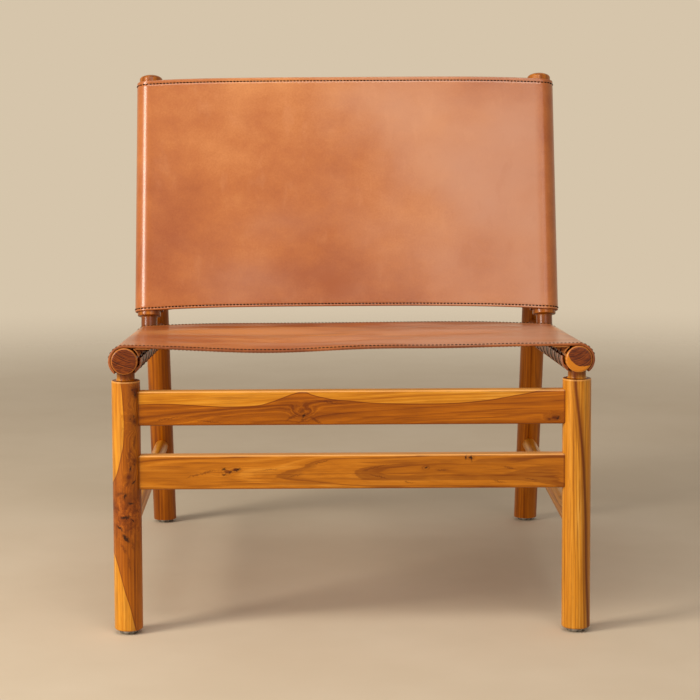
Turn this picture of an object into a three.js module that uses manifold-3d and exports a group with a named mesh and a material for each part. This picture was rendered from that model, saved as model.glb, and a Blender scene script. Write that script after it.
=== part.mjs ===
// A lounge chair with a leather seat and back slung in a frame of turned hardwood.
// Two A-shaped side frames, each a front leg, a seat rail, a back post and a raked rear leg, are
// joined by flat cross rails. Turned necks enter round mortises where the members meet.
// Millimetres, z up, the sitter faces -y. The origin is on the floor under the chair's middle.

import * as THREE from 'three';
import { mergeVertices, toCreasedNormals } from 'three/addons/utils/BufferGeometryUtils.js';
import Module from 'manifold-3d';

const wasm = await Module();
wasm.setup();

const { degToRad } = THREE.MathUtils;

// Fits
const FIT_GAP = 0.3;               // air between two pieces that touch
const CUT_OVERRUN = 4;             // how far a cutter runs past the face that it opens

// Side frames, seen from the side
const FRAME_SPACING = 600;         // between the middle planes of the two side frames
const SEAT_RAIL_HEIGHT = 369;      // rail axis above the floor at the front legs
const SEAT_RAIL_FALL = degToRad(3.4);
const SEAT_RAIL_OVERHANG = 25;     // in front of the front leg's axis
const POST_SETBACK = 411;          // where the back post stands on the rail, behind the front leg
const POST_TILT = degToRad(15);
const POST_LENGTH = 411;           // from the rail's axis to the domed top
const REAR_FOOT_SETBACK = 711;
const REAR_LEG_RAKE = degToRad(20);
const STRETCHER_SHARE = 0.374;     // its height as a share of SEAT_RAIL_HEIGHT

// Turned members
const FRONT_LEG_RADIUS = 19;
const REAR_LEG_RADIUS = 18.5;
const SEAT_RAIL_RADIUS = 17.5;
const POST_RADIUS = 17.5;
const STRETCHER_RADIUS = 10.5;
const NECK_RADIUS = 12;            // necks and the round tenons that they run into
const NECK_COVE = 2.5;
const TENON_CHAMFER = 1.5;
const SHOULDER_CHAMFER = 1.5;
const FOOT_ROUNDING = 3;
const RAIL_END_ROUNDING = 3;
const POST_DOME = 7;
const LEATHER_TO_SHOULDER = 4.3;   // bare neck between the seat leather and a front leg
const RAIL_NECK_SHOWING = 5;       // bare neck between seat rail and rear leg
const POST_NECK_SHOWING = 12.5;    // bare neck between seat rail and back post
const LEG_TOP_SHOWING = 3;         // bare neck between the back leather and a rear leg

// Flat cross rails
const CROSS_RAIL_THICKNESS = 20;
const CROSS_RAIL_WIDTH = 46;
const CROSS_RAIL_ROUNDING = 3;
const CROSS_TENON_THICKNESS = 11;
const CROSS_TENON_WIDTH = 34;
const CROSS_TENON_DEPTH = 22;
const FLAT_MARGIN = 1;             // milled flat above and below a cross rail
const FRONT_RAIL_SHARES = { upper: 0.8264, lower: 0.5932 };  // of the height of the seat rail at the leg
const REAR_RAIL_SHARES = { upper: 1.229, lower: 0.6216 };  // of the way up the raked leg to the seat rail

// Nailed glides
const GLIDE_RADIUS = 12.5;
const GLIDE_HEIGHT = 5;
const GLIDE_ROUNDING = 1.5;
const GLIDE_NAIL_RADIUS = 1.6;
const GLIDE_NAIL_LENGTH = 16;

// Leather
const LEATHER = 3.5;
const STRIP_LEATHER = 3;
const SEAT_SAG = 5;
const BACK_SAG = 12;
const BACK_BOW = 7;                // both edges of the back leather rise this much in the middle
const SEAT_REVEAL = 2;             // rail end standing out of the seat leather
const SEAT_TO_NECK = 2;            // seat leather to the back post's neck
const BACK_FOOT_REVEAL = 6;        // post showing under the back leather
const BACK_TOP_REVEAL = 13;        // domed post end standing out of the back leather
const WRAP_EDGE = degToRad(10);    // where the wrap ends, above the rail's inner side
const SKIVED_LEATHER = 1.4;        // lacing strip, and the wrapped edge that is pared to match it
const SKIVED_WIDTH = 12;
const STRIP_FLANGE = 22;           // the strip's width where it is bonded under the panel
const NECK_HOLE_CLEARANCE = 1;

// Lacing
const LACING_GAP = 3;              // between the wrapped edge and the lacing strip
const LACE_RADIUS = 0.9;
const WRAP_HOLE_INSET = 9;
const STRIP_HOLE_INSET = 3.5;
const LACE_PITCH = 50;
const LACE_END_MARGIN = 16;
const OVER_SHARES = [0, 1 / 2, 1];             // of the way from wrap hole to strip hole
const RETURN_SHARES = [1, 2 / 3, 1 / 3, 0];

// Faceting
const ROUND_SEGMENTS = 18;
const SMALL_SEGMENTS = 14;
const HOLE_SEGMENTS = 8;
const LACE_DIVISIONS = 4;
const ROUNDING_DIVISIONS = 1;
const DOME_DIVISIONS = 3;
const WRAP_STEPS = 15;
const PANEL_STEPS = 8;
const SKIVED_STEPS = 2;
const MERGE_DISTANCE = 1e-4;
const CREASE = degToRad(35);

// Finishes
const TEAK = { color: 0xb86a26, roughness: 0.38, metalness: 0 };
const SADDLE_LEATHER = { color: 0xc67c48, roughness: 0.5, metalness: 0 };
const LACE_LEATHER = { color: 0x5a3018, roughness: 0.6, metalness: 0 };
const GLIDE_STEEL = { color: 0xb4b0a8, roughness: 0.35, metalness: 1 };

const SIDES = { left: -1, right: 1 };
const HALF_SPACING = FRAME_SPACING / 2;
const GLIDE_SEAT = GLIDE_HEIGHT + FIT_GAP;

// Boolean cuts and joins

function solidOf(mesh) {
  mesh.updateWorldMatrix(true, false);
  const surface = mesh.geometry.clone().applyMatrix4(mesh.matrixWorld);
  surface.deleteAttribute('normal');
  surface.deleteAttribute('uv');
  const merged = mergeVertices(surface, MERGE_DISTANCE);
  return new wasm.Manifold(new wasm.Mesh({
    numProp: 3,
    vertProperties: merged.attributes.position.array,
    triVerts: new Uint32Array(merged.index.array),
  }));
}

// Gives a mesh a solid's surface, brought back into the mesh's own frame.
function takeShape(mesh, solid) {
  const { numProp, vertProperties, triVerts } = solid.getMesh();
  const surface = new THREE.BufferGeometry();
  surface.setAttribute('position', new THREE.BufferAttribute(vertProperties, numProp));
  surface.setIndex(new THREE.BufferAttribute(triVerts, 1));
  surface.applyMatrix4(mesh.matrixWorld.clone().invert());
  mesh.geometry = toCreasedNormals(surface, CREASE);
}

function carve(mesh, cutters) {
  takeShape(mesh, cutters.reduce((solid, cutter) => solid.subtract(solidOf(cutter)), solidOf(mesh)));
}

function join(mesh, addition) {
  takeShape(mesh, solidOf(mesh).add(solidOf(addition)));
}

function piece(name, geometry, finish) {
  const mesh = new THREE.Mesh(geometry, new THREE.MeshStandardMaterial(finish));
  mesh.name = name;
  return mesh;
}

// Axis lines of the members in the side plane, as (distance back, height) pairs

function axisLine(setback, height, lean) {
  return {
    at: new THREE.Vector2(setback, height),
    along: new THREE.Vector2(Math.sin(lean), Math.cos(lean)),
  };
}

function pointOn(line, distance) {
  return line.at.clone().addScaledVector(line.along, distance);
}

// How far along one line another crosses it.
function crossing(line, other) {
  return other.at.clone().sub(line.at).cross(other.along) / line.along.cross(other.along);
}

// How far short of the crossing a member's shoulder stops to clear a mate of the given radius.
function shoulderDistance(line, radius, mate, mateRadius) {
  return (mateRadius + radius * Math.abs(line.along.dot(mate.along))) / Math.abs(line.along.cross(mate.along));
}

// Lays an object's z axis along a line, the given distance up it, in the plane x.
function layAlong(object, line, x, distance = 0) {
  const start = pointOn(line, distance);
  object.position.set(x, start.x, start.y);
  object.rotation.x = Math.atan2(-line.along.x, line.along.y);
  return object;
}

const frontLegLine = axisLine(0, 0, 0);
const seatRailLine = axisLine(0, SEAT_RAIL_HEIGHT, Math.PI / 2 + SEAT_RAIL_FALL);
const postStart = pointOn(seatRailLine, POST_SETBACK / seatRailLine.along.x);
const postLine = axisLine(postStart.x, postStart.y, POST_TILT);
const rearLegLine = axisLine(REAR_FOOT_SETBACK, 0, -REAR_LEG_RAKE);
const stretcherLine = axisLine(0, STRETCHER_SHARE * SEAT_RAIL_HEIGHT, Math.PI / 2);

// Turned members

// Ends are outlines from the axis to the full radius, with y as the depth in from the tip.
function roundedEnd(radius, rounding) {
  const outline = new THREE.Path();
  outline.moveTo(0, 0);
  outline.lineTo(radius - rounding, 0);
  outline.absarc(radius - rounding, rounding, rounding, -Math.PI / 2, 0, false);
  return outline.getPoints(ROUNDING_DIVISIONS);
}

function domedEnd(radius, rise) {
  const outline = new THREE.Path();
  outline.absellipse(0, rise, radius, rise, -Math.PI / 2, 0, false);
  return outline.getPoints(DOME_DIVISIONS);
}

function sawnEnd(radius) {
  return [new THREE.Vector2(0, 0), new THREE.Vector2(radius, 0)];
}

function neckedEnd(radius, neckLength) {
  const outline = new THREE.Path();
  outline.moveTo(0, 0);
  outline.lineTo(NECK_RADIUS - TENON_CHAMFER, 0);
  outline.lineTo(NECK_RADIUS, TENON_CHAMFER);
  outline.lineTo(NECK_RADIUS, neckLength - NECK_COVE);
  outline.absarc(NECK_RADIUS + NECK_COVE, neckLength - NECK_COVE, NECK_COVE, Math.PI, Math.PI / 2, true);
  outline.lineTo(radius - SHOULDER_CHAMFER, neckLength);
  outline.lineTo(radius, neckLength + SHOULDER_CHAMFER);
  return outline.getPoints(ROUNDING_DIVISIONS);
}

// A round member along z, from the tip of one end outline to the tip of the other.
function turned(start, startEnd, finish, finishEnd, segments = ROUND_SEGMENTS) {
  const profile = [
    ...startEnd.map((point) => new THREE.Vector2(point.x, start + point.y)),
    ...finishEnd.map((point) => new THREE.Vector2(point.x, finish - point.y)).reverse(),
  ];
  return new THREE.LatheGeometry(profile, segments).rotateX(Math.PI / 2);
}

// A plain bar that clears a neck or dowel, laid from a tip that the tenon stops short of.
function boreCutter(line, x, tip, reach, radius) {
  const start = Math.min(tip, tip + reach);
  const bar = turned(0, sawnEnd(radius), Math.abs(reach), sawnEnd(radius));
  return layAlong(new THREE.Mesh(bar), line, x, start);
}

const wrapRadius = (coreRadius) => coreRadius + FIT_GAP + LEATHER;

const frontNeck = shoulderDistance(
  frontLegLine, FRONT_LEG_RADIUS, seatRailLine, wrapRadius(SEAT_RAIL_RADIUS) + LEATHER_TO_SHOULDER);
const railNeck = shoulderDistance(
  seatRailLine, SEAT_RAIL_RADIUS, rearLegLine, REAR_LEG_RADIUS + RAIL_NECK_SHOWING);
const postNeck = shoulderDistance(
  postLine, POST_RADIUS, seatRailLine, SEAT_RAIL_RADIUS + POST_NECK_SHOWING);
const legTopNeck = shoulderDistance(
  rearLegLine, REAR_LEG_RADIUS, postLine, wrapRadius(POST_RADIUS) + LEG_TOP_SHOWING);

const frontLegTip = crossing(frontLegLine, seatRailLine);
const railTip = crossing(seatRailLine, rearLegLine);
const rearLegTip = crossing(rearLegLine, postLine);
const stretcherTip = crossing(stretcherLine, rearLegLine);

function frontLeg(side) {
  const foot = roundedEnd(FRONT_LEG_RADIUS, FOOT_ROUNDING);
  const top = neckedEnd(FRONT_LEG_RADIUS, frontNeck);
  const leg = piece(`front_leg_${side}`, turned(GLIDE_SEAT, foot, frontLegTip, top), TEAK);
  return layAlong(leg, frontLegLine, SIDES[side] * HALF_SPACING);
}

function seatRail(side) {
  const front = roundedEnd(SEAT_RAIL_RADIUS, RAIL_END_ROUNDING);
  const rear = neckedEnd(SEAT_RAIL_RADIUS, railNeck);
  const rail = piece(`seat_rail_${side}`, turned(-SEAT_RAIL_OVERHANG, front, railTip, rear), TEAK);
  return layAlong(rail, seatRailLine, SIDES[side] * HALF_SPACING);
}

function backPost(side) {
  const foot = neckedEnd(POST_RADIUS, postNeck);
  const top = domedEnd(POST_RADIUS, POST_DOME);
  const post = piece(`back_post_${side}`, turned(0, foot, POST_LENGTH, top), TEAK);
  return layAlong(post, postLine, SIDES[side] * HALF_SPACING);
}

// The raked leg is turned long and then sawn level with the floor.
function rearLeg(side) {
  const start = -REAR_LEG_RADIUS * Math.tan(REAR_LEG_RAKE) - CUT_OVERRUN;
  const top = neckedEnd(REAR_LEG_RADIUS, legTopNeck);
  const leg = piece(`rear_leg_${side}`, turned(start, sawnEnd(REAR_LEG_RADIUS), rearLegTip, top), TEAK);
  layAlong(leg, rearLegLine, SIDES[side] * HALF_SPACING);
  carve(leg, levelFootCutters(leg.position.x));
  return leg;
}

// A block under the floor line and a ring that breaks the sawn edge all round.
function levelFootCutters(x) {
  const foot = footPoint(rearLegLine);
  const depth = 2 * REAR_LEG_RADIUS;
  const block = new THREE.Mesh(new THREE.BoxGeometry(2 * depth, 2 * depth, depth));
  block.position.set(x, foot.x, foot.y - depth / 2);
  const low = -CUT_OVERRUN;
  const wide = REAR_LEG_RADIUS + CUT_OVERRUN;
  const ringProfile = [
    new THREE.Vector2(REAR_LEG_RADIUS - FOOT_ROUNDING + low, low),
    new THREE.Vector2(wide, low),
    new THREE.Vector2(wide, FOOT_ROUNDING - low),
    new THREE.Vector2(REAR_LEG_RADIUS - FOOT_ROUNDING + low, low),
  ];
  const ring = new THREE.Mesh(new THREE.LatheGeometry(ringProfile, ROUND_SEGMENTS).rotateX(Math.PI / 2));
  ring.position.set(x, foot.x, foot.y);
  ring.scale.y = 1 / Math.cos(REAR_LEG_RAKE);
  return [block, ring];
}

// The middle of a leg's sawn foot, where the glide sits.
function footPoint(line) {
  return pointOn(line, GLIDE_SEAT / line.along.y);
}

function sideStretcher(side) {
  const end = roundedEnd(STRETCHER_RADIUS, TENON_CHAMFER);
  const bar = turned(0, end, stretcherTip, end, SMALL_SEGMENTS);
  const dowel = piece(`side_stretcher_${side}`, bar, TEAK);
  return layAlong(dowel, stretcherLine, SIDES[side] * HALF_SPACING);
}

// Nailed glides

function glideGeometry() {
  const outline = new THREE.Path();
  outline.moveTo(0, 0);
  outline.lineTo(GLIDE_RADIUS - GLIDE_ROUNDING, 0);
  outline.absarc(GLIDE_RADIUS - GLIDE_ROUNDING, GLIDE_ROUNDING, GLIDE_ROUNDING, -Math.PI / 2, 0, false);
  outline.lineTo(GLIDE_RADIUS, GLIDE_HEIGHT);
  outline.lineTo(GLIDE_NAIL_RADIUS, GLIDE_HEIGHT);
  outline.lineTo(GLIDE_NAIL_RADIUS, GLIDE_HEIGHT + GLIDE_NAIL_LENGTH - GLIDE_NAIL_RADIUS);
  outline.lineTo(0, GLIDE_HEIGHT + GLIDE_NAIL_LENGTH);
  const profile = outline.getPoints(ROUNDING_DIVISIONS);
  return new THREE.LatheGeometry(profile, SMALL_SEGMENTS).rotateX(Math.PI / 2);
}

function footGlide(end, side, leg, line) {
  const glide = piece(`foot_glide_${end}_${side}`, glideGeometry(), GLIDE_STEEL);
  const foot = footPoint(line);
  glide.position.set(SIDES[side] * HALF_SPACING, foot.x, 0);
  const pilotEnd = sawnEnd(GLIDE_NAIL_RADIUS + FIT_GAP);
  const pilotTop = GLIDE_HEIGHT + GLIDE_NAIL_LENGTH + FIT_GAP;
  const pilot = new THREE.Mesh(turned(0, pilotEnd, pilotTop, pilotEnd, SMALL_SEGMENTS));
  pilot.position.copy(glide.position);
  carve(leg, [pilot]);
  return glide;
}

// Cross rails

// Turns an outline of (depth, height) so that its extrusion runs along x.
const ACROSS = new THREE.Matrix4().makeBasis(
  new THREE.Vector3(0, 1, 0), new THREE.Vector3(0, 0, 1), new THREE.Vector3(1, 0, 0));

function roundedBoard(length) {
  const x = CROSS_RAIL_THICKNESS / 2 - CROSS_RAIL_ROUNDING;
  const y = CROSS_RAIL_WIDTH / 2 - CROSS_RAIL_ROUNDING;
  const outline = new THREE.Shape();
  outline.absarc(x, y, CROSS_RAIL_ROUNDING, 0, Math.PI / 2, false);
  outline.absarc(-x, y, CROSS_RAIL_ROUNDING, Math.PI / 2, Math.PI, false);
  outline.absarc(-x, -y, CROSS_RAIL_ROUNDING, Math.PI, 1.5 * Math.PI, false);
  outline.absarc(x, -y, CROSS_RAIL_ROUNDING, 1.5 * Math.PI, 2 * Math.PI, false);
  const board = new THREE.ExtrudeGeometry(outline, {
    depth: length, bevelEnabled: false, curveSegments: ROUNDING_DIVISIONS,
  });
  return board.translate(0, 0, -length / 2).applyMatrix4(ACROSS);
}

// Mills a flat on the inner side of both legs, as wide as the rail is thick, with run-outs at 45 degrees.
function flatsCutter(legRadius, flatDistance) {
  const reach = HALF_SPACING - flatDistance;
  const height = CROSS_RAIL_WIDTH / 2 + FLAT_MARGIN;
  const rise = legRadius - flatDistance + CUT_OVERRUN;
  const outline = new THREE.Shape([
    new THREE.Vector2(reach, height),
    new THREE.Vector2(reach - rise, height + rise),
    new THREE.Vector2(rise - reach, height + rise),
    new THREE.Vector2(-reach, height),
    new THREE.Vector2(-reach, -height),
    new THREE.Vector2(rise - reach, -height - rise),
    new THREE.Vector2(reach - rise, -height - rise),
    new THREE.Vector2(reach, -height),
  ]);
  const depth = 2 * legRadius;
  const cutter = new THREE.ExtrudeGeometry(outline, { depth, bevelEnabled: false });
  return new THREE.Mesh(cutter.translate(0, 0, -depth / 2).rotateX(Math.PI / 2));
}

// A board tenoned between two legs that it also mills and mortises.
function crossRail(name, legs, line, distance, legRadius) {
  const flatDistance = Math.sqrt(legRadius ** 2 - (CROSS_RAIL_THICKNESS / 2) ** 2);
  const length = FRAME_SPACING - 2 * (flatDistance + FIT_GAP);
  const tenonLength = FRAME_SPACING - 2 * (flatDistance - CROSS_TENON_DEPTH);
  const mortiseSlack = 2 * FIT_GAP;
  const rail = layAlong(piece(name, roundedBoard(length), TEAK), line, 0, distance);
  const tenons = new THREE.Mesh(
    new THREE.BoxGeometry(tenonLength, CROSS_TENON_THICKNESS, CROSS_TENON_WIDTH));
  join(rail, layAlong(tenons, line, 0, distance));
  const mortises = new THREE.Mesh(new THREE.BoxGeometry(
    tenonLength + mortiseSlack, CROSS_TENON_THICKNESS + mortiseSlack, CROSS_TENON_WIDTH + mortiseSlack));
  const cutters = [mortises, flatsCutter(legRadius, flatDistance)];
  cutters.forEach((cutter) => layAlong(cutter, line, 0, distance));
  legs.forEach((leg) => carve(leg, cutters));
  return rail;
}

// Slings

// The sizes that one sling's section works from: a panel that sags as an arc touching both wraps.
function slingGeometry(coreRadius, sag) {
  const inner = coreRadius + FIT_GAP;
  const outer = inner + LEATHER;
  const middle = (inner + outer) / 2;
  const reach = (HALF_SPACING ** 2 + sag ** 2) / (2 * sag);
  return {
    inner,
    outer,
    skived: outer - SKIVED_LEATHER,
    reach,
    sagRadius: reach - middle,
    sagHeight: reach - sag,
    lean: Math.asin(HALF_SPACING / reach),
    angleBeyondEdge: (distance) => WRAP_EDGE + distance / middle,
  };
}

function arc(x, y, radius, from, to, steps) {
  return new THREE.EllipseCurve(x, y, radius, radius, from, to, to < from).getPoints(steps);
}

// Half of a closed section is drawn on the right and mirrored to the left.
function mirrored(points) {
  return points.map((point) => new THREE.Vector2(-point.x, point.y));
}

function slingSection(sling) {
  const { inner, outer, skived, sagRadius, sagHeight, lean, angleBeyondEdge } = sling;
  const up = Math.PI / 2;
  const half = LEATHER / 2;
  const edge = -Math.PI - WRAP_EDGE;
  const skivedEnd = -Math.PI - angleBeyondEdge(-SKIVED_WIDTH);
  const right = [
    ...arc(0, sagHeight, sagRadius - half, -up, lean - up, PANEL_STEPS),
    ...arc(HALF_SPACING, 0, outer, up + lean, edge, WRAP_STEPS).slice(1),
    ...arc(HALF_SPACING, 0, skived, edge, skivedEnd, SKIVED_STEPS),
    ...arc(HALF_SPACING, 0, inner, skivedEnd, up + lean, WRAP_STEPS),
    ...arc(0, sagHeight, sagRadius + half, lean - up, -up, PANEL_STEPS).slice(1),
  ];
  const left = mirrored(right).reverse().slice(1, -1);
  return new THREE.Shape([...right, ...left]);
}

// Where a circle round the rail meets one round the sag centre, as the angle at each centre.
function circlesMeet(sling, aroundRail, aroundSag) {
  const { reach } = sling;
  const square = reach ** 2 + aroundRail ** 2 - aroundSag ** 2;
  const atRail = Math.acos(square / (2 * reach * aroundRail));
  const atSag = Math.asin(aroundRail * Math.sin(atRail) / aroundSag);
  return { rail: Math.PI / 2 + sling.lean + atRail, sag: sling.lean - atSag - Math.PI / 2 };
}

// An angled strip: a web beside the rail that faces the wrapped edge, and a flange under the panel.
function stripSection(sling, sign) {
  const { outer, skived, sagRadius, sagHeight, angleBeyondEdge } = sling;
  const webEdge = Math.PI - angleBeyondEdge(LACING_GAP);
  const flangeTop = sagRadius + LEATHER / 2 + FIT_GAP;
  const flangeFoot = flangeTop + SKIVED_LEATHER;
  const back = circlesMeet(sling, skived, flangeTop);
  const bend = circlesMeet(sling, outer, flangeFoot);
  const flangeEdge = back.sag - STRIP_FLANGE / flangeTop;
  const right = [
    ...arc(HALF_SPACING, 0, skived, webEdge, back.rail, SKIVED_STEPS),
    ...arc(0, sagHeight, flangeTop, back.sag, flangeEdge, SKIVED_STEPS).slice(1),
    ...arc(0, sagHeight, flangeFoot, flangeEdge, bend.sag, SKIVED_STEPS),
    ...arc(HALF_SPACING, 0, outer, bend.rail, webEdge, SKIVED_STEPS).slice(1),
  ];
  return new THREE.Shape(sign > 0 ? right : mirrored(right));
}

// Extrudes a section of the leather, with both ends bowed alike: not at the rails, most in between.
function leatherGeometry(section, length, bow) {
  const leather = new THREE.ExtrudeGeometry(section, { depth: length, bevelEnabled: false });
  const { position } = leather.attributes;
  for (let corner = 0; corner < position.count; corner += 1) {
    const share = Math.min(Math.abs(position.getX(corner)) / HALF_SPACING, 1);
    position.setZ(corner, position.getZ(corner) - bow * (1 - share ** 2));
  }
  return leather;
}

// Depths of the lacing strokes, spread evenly over the laced length.
function strokeDepths(lacedLength) {
  const spaces = Math.floor((lacedLength - 2 * LACE_END_MARGIN) / LACE_PITCH);
  const first = (lacedLength - spaces * LACE_PITCH) / 2;
  return Array.from({ length: spaces + 1 }, (_, stroke) => first + stroke * LACE_PITCH);
}

function lacingAngles(sling) {
  return {
    wrap: sling.angleBeyondEdge(-WRAP_HOLE_INSET),
    strip: sling.angleBeyondEdge(LACING_GAP + STRIP_HOLE_INSET),
  };
}

// A direction square to the leather, at an angle above the rail's inner side.
function outwards(sign, angle) {
  return new THREE.Vector3(-sign * Math.cos(angle), Math.sin(angle), 0);
}

// A curve sampled at its own control points, which keeps the corners of a laced route.
class LaceRoute extends THREE.CatmullRomCurve3 {
  getUtoTmapping(share) {
    return share;
  }
}

// A stroke over the outside at each pair of holes, and a slanting return between leather and rail.
function laceRoute(sling, sign, depths) {
  const { wrap, strip } = lacingAngles(sling);
  const over = sling.outer + LACE_RADIUS + 3 * FIT_GAP;
  const under = sling.inner + LACE_RADIUS;
  const pass = (share, radius, depth) => {
    const angle = THREE.MathUtils.lerp(wrap, strip, share);
    return outwards(sign, angle).multiplyScalar(radius).add(new THREE.Vector3(sign * HALF_SPACING, 0, depth));
  };
  const route = [pass(0, under, depths[0])];
  depths.forEach((depth, stroke) => {
    const isLast = stroke === depths.length - 1;
    const returns = isLast ? [1] : RETURN_SHARES;
    route.push(...OVER_SHARES.map((share) => pass(share, over, depth)));
    route.push(...returns.map((share) => pass(share, under, depth + (1 - share) * LACE_PITCH)));
  });
  return new LaceRoute(route);
}

function laceGeometry(route) {
  const section = new THREE.Shape();
  section.absarc(0, 0, LACE_RADIUS, 0, 2 * Math.PI, false);
  return new THREE.ExtrudeGeometry(section, {
    extrudePath: route,
    steps: route.points.length - 1,
    curveSegments: LACE_DIVISIONS,
    bevelEnabled: false,
  });
}

function laceHoleCutters(sling, sign, depths) {
  const end = sawnEnd(LACE_RADIUS + FIT_GAP);
  const bar = turned(sling.inner, end, sling.outer + CUT_OVERRUN, end, HOLE_SEGMENTS);
  const along = new THREE.Vector3(0, 0, 1);
  return Object.values(lacingAngles(sling)).flatMap((angle) => depths.map((depth) => {
    const cutter = new THREE.Mesh(bar);
    cutter.position.set(sign * HALF_SPACING, 0, depth);
    cutter.quaternion.setFromUnitVectors(along, outwards(sign, angle));
    return cutter;
  }));
}

// A panel, its lacing strips and its laces, in a group whose z axis runs along a line of the frame.
function slingSet(name, sling, { length, lacedLength, bow }, line, distance, neckCutters) {
  const set = new THREE.Group();
  const start = pointOn(line, distance);
  set.position.set(0, start.x, start.y);
  set.rotation.x = Math.atan2(line.along.x, -line.along.y);
  const panel = piece(
    `${name}_sling`, leatherGeometry(slingSection(sling), length, bow), SADDLE_LEATHER);
  set.add(panel);
  const depths = strokeDepths(lacedLength);
  const holeCutters = Object.entries(SIDES).map(([side, sign]) => {
    const cutters = laceHoleCutters(sling, sign, depths);
    const strip = piece(
      `${name}_lacing_strip_${side}`,
      leatherGeometry(stripSection(sling, sign), length, bow),
      SADDLE_LEATHER);
    const lace = piece(
      `${name}_lace_${side}`, laceGeometry(laceRoute(sling, sign, depths)), LACE_LEATHER);
    set.add(strip, lace, ...cutters);
    carve(strip, cutters);
    return cutters;
  }).flat();
  carve(panel, [...holeCutters, ...neckCutters]);
  set.remove(...holeCutters);
  return set;
}

// The seat leather is notched from its front edge for the front leg's neck, and on the laced side
// it starts no further forward than the neck.
function seatNotchCutters(sign) {
  const x = sign * HALF_SPACING;
  const radius = NECK_RADIUS + NECK_HOLE_CLEARANCE;
  const reach = wrapRadius(SEAT_RAIL_RADIUS) + CUT_OVERRUN;
  const front = -SEAT_RAIL_OVERHANG - CUT_OVERRUN;
  const bore = boreCutter(frontLegLine, x, frontLegTip, -2 * frontNeck, radius);
  const slot = new THREE.Mesh(new THREE.BoxGeometry(2 * radius, -front, reach));
  slot.position.set(x, front / 2, frontLegTip - reach / 2);
  const relief = new THREE.Mesh(new THREE.BoxGeometry(reach, -front - NECK_RADIUS, 2 * reach));
  relief.position.set(
    x - sign * reach / 2,
    (front - NECK_RADIUS) / 2,
    frontLegTip + reach * Math.sin(WRAP_EDGE) + LACING_GAP - reach);
  return [bore, slot, relief];
}

function seatSet() {
  const crossedAt = crossing(seatRailLine, postLine);
  const neckReach = NECK_RADIUS / Math.abs(seatRailLine.along.cross(postLine.along));
  const front = SEAT_REVEAL - SEAT_RAIL_OVERHANG;
  const rear = crossedAt - neckReach - SEAT_TO_NECK;
  const cutters = Object.values(SIDES).flatMap(seatNotchCutters);
  const sling = slingGeometry(SEAT_RAIL_RADIUS, SEAT_SAG);
  const cut = { length: rear - front, lacedLength: rear + NECK_RADIUS, bow: 0 };
  return slingSet('seat', sling, cut, seatRailLine, rear, cutters);
}

function backSet() {
  const foot = postNeck + BACK_FOOT_REVEAL;
  const top = POST_LENGTH - BACK_TOP_REVEAL;
  const radius = NECK_RADIUS + NECK_HOLE_CLEARANCE;
  const cutters = Object.values(SIDES).map(
    (sign) => boreCutter(rearLegLine, sign * HALF_SPACING, rearLegTip, -legTopNeck, radius));
  const sling = slingGeometry(POST_RADIUS, BACK_SAG);
  const cut = { length: top - foot, lacedLength: top - foot, bow: BACK_BOW };
  return slingSet('back', sling, cut, postLine, top, cutters);
}

// Assembly

// Bores a member for the neck or dowel that enters it and stops at its axis.
function bore(member, line, x, tip, inward, radius) {
  carve(member, [boreCutter(line, x, tip + Math.sign(inward) * -FIT_GAP, inward, radius + FIT_GAP)]);
}

function sideFrame(side) {
  const x = SIDES[side] * HALF_SPACING;
  const members = {
    frontLeg: frontLeg(side),
    seatRail: seatRail(side),
    backPost: backPost(side),
    rearLeg: rearLeg(side),
    sideStretcher: sideStretcher(side),
  };
  const { frontLeg: front, seatRail: rail, backPost: post, rearLeg: rear } = members;
  bore(rail, frontLegLine, x, frontLegTip, -2 * frontNeck, NECK_RADIUS);
  bore(rail, postLine, x, 0, 2 * postNeck, NECK_RADIUS);
  bore(rear, seatRailLine, x, railTip, -2 * railNeck, NECK_RADIUS);
  bore(post, rearLegLine, x, rearLegTip, -2 * legTopNeck, NECK_RADIUS);
  bore(front, stretcherLine, x, 0, 2 * FRONT_LEG_RADIUS, STRETCHER_RADIUS);
  bore(rear, stretcherLine, x, stretcherTip, -2 * REAR_LEG_RADIUS, STRETCHER_RADIUS);
  return members;
}

const frame = new THREE.Group();
const sideFrames = Object.keys(SIDES).map(sideFrame);
const frontLegs = sideFrames.map((members) => members.frontLeg);
const rearLegs = sideFrames.map((members) => members.rearLeg);
for (const [place, share] of Object.entries(FRONT_RAIL_SHARES)) {
  const height = share * frontLegTip;
  frame.add(crossRail(`front_rail_${place}`, frontLegs, frontLegLine, height, FRONT_LEG_RADIUS));
}
for (const [place, share] of Object.entries(REAR_RAIL_SHARES)) {
  const distance = share * crossing(rearLegLine, seatRailLine);
  frame.add(crossRail(`rear_rail_${place}`, rearLegs, rearLegLine, distance, REAR_LEG_RADIUS));
}
Object.keys(SIDES).forEach((side, index) => {
  const { frontLeg: front, rearLeg: rear } = sideFrames[index];
  frame.add(...Object.values(sideFrames[index]));
  frame.add(footGlide('front', side, front, frontLegLine));
  frame.add(footGlide('rear', side, rear, rearLegLine));
});
frame.add(seatSet(), backSet());

// The origin goes to the floor under the middle of the chair's depth.
const extent = new THREE.Box3().setFromObject(frame, true);
frame.position.y = -(extent.min.y + extent.max.y) / 2;

const chair = new THREE.Group();
chair.add(frame);

export default chair;
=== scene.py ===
from itertools import product
from math import acos, asin, cos, exp, floor, pi, radians, sin, sqrt

import bpy
from mathutils import Matrix, Vector


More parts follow.
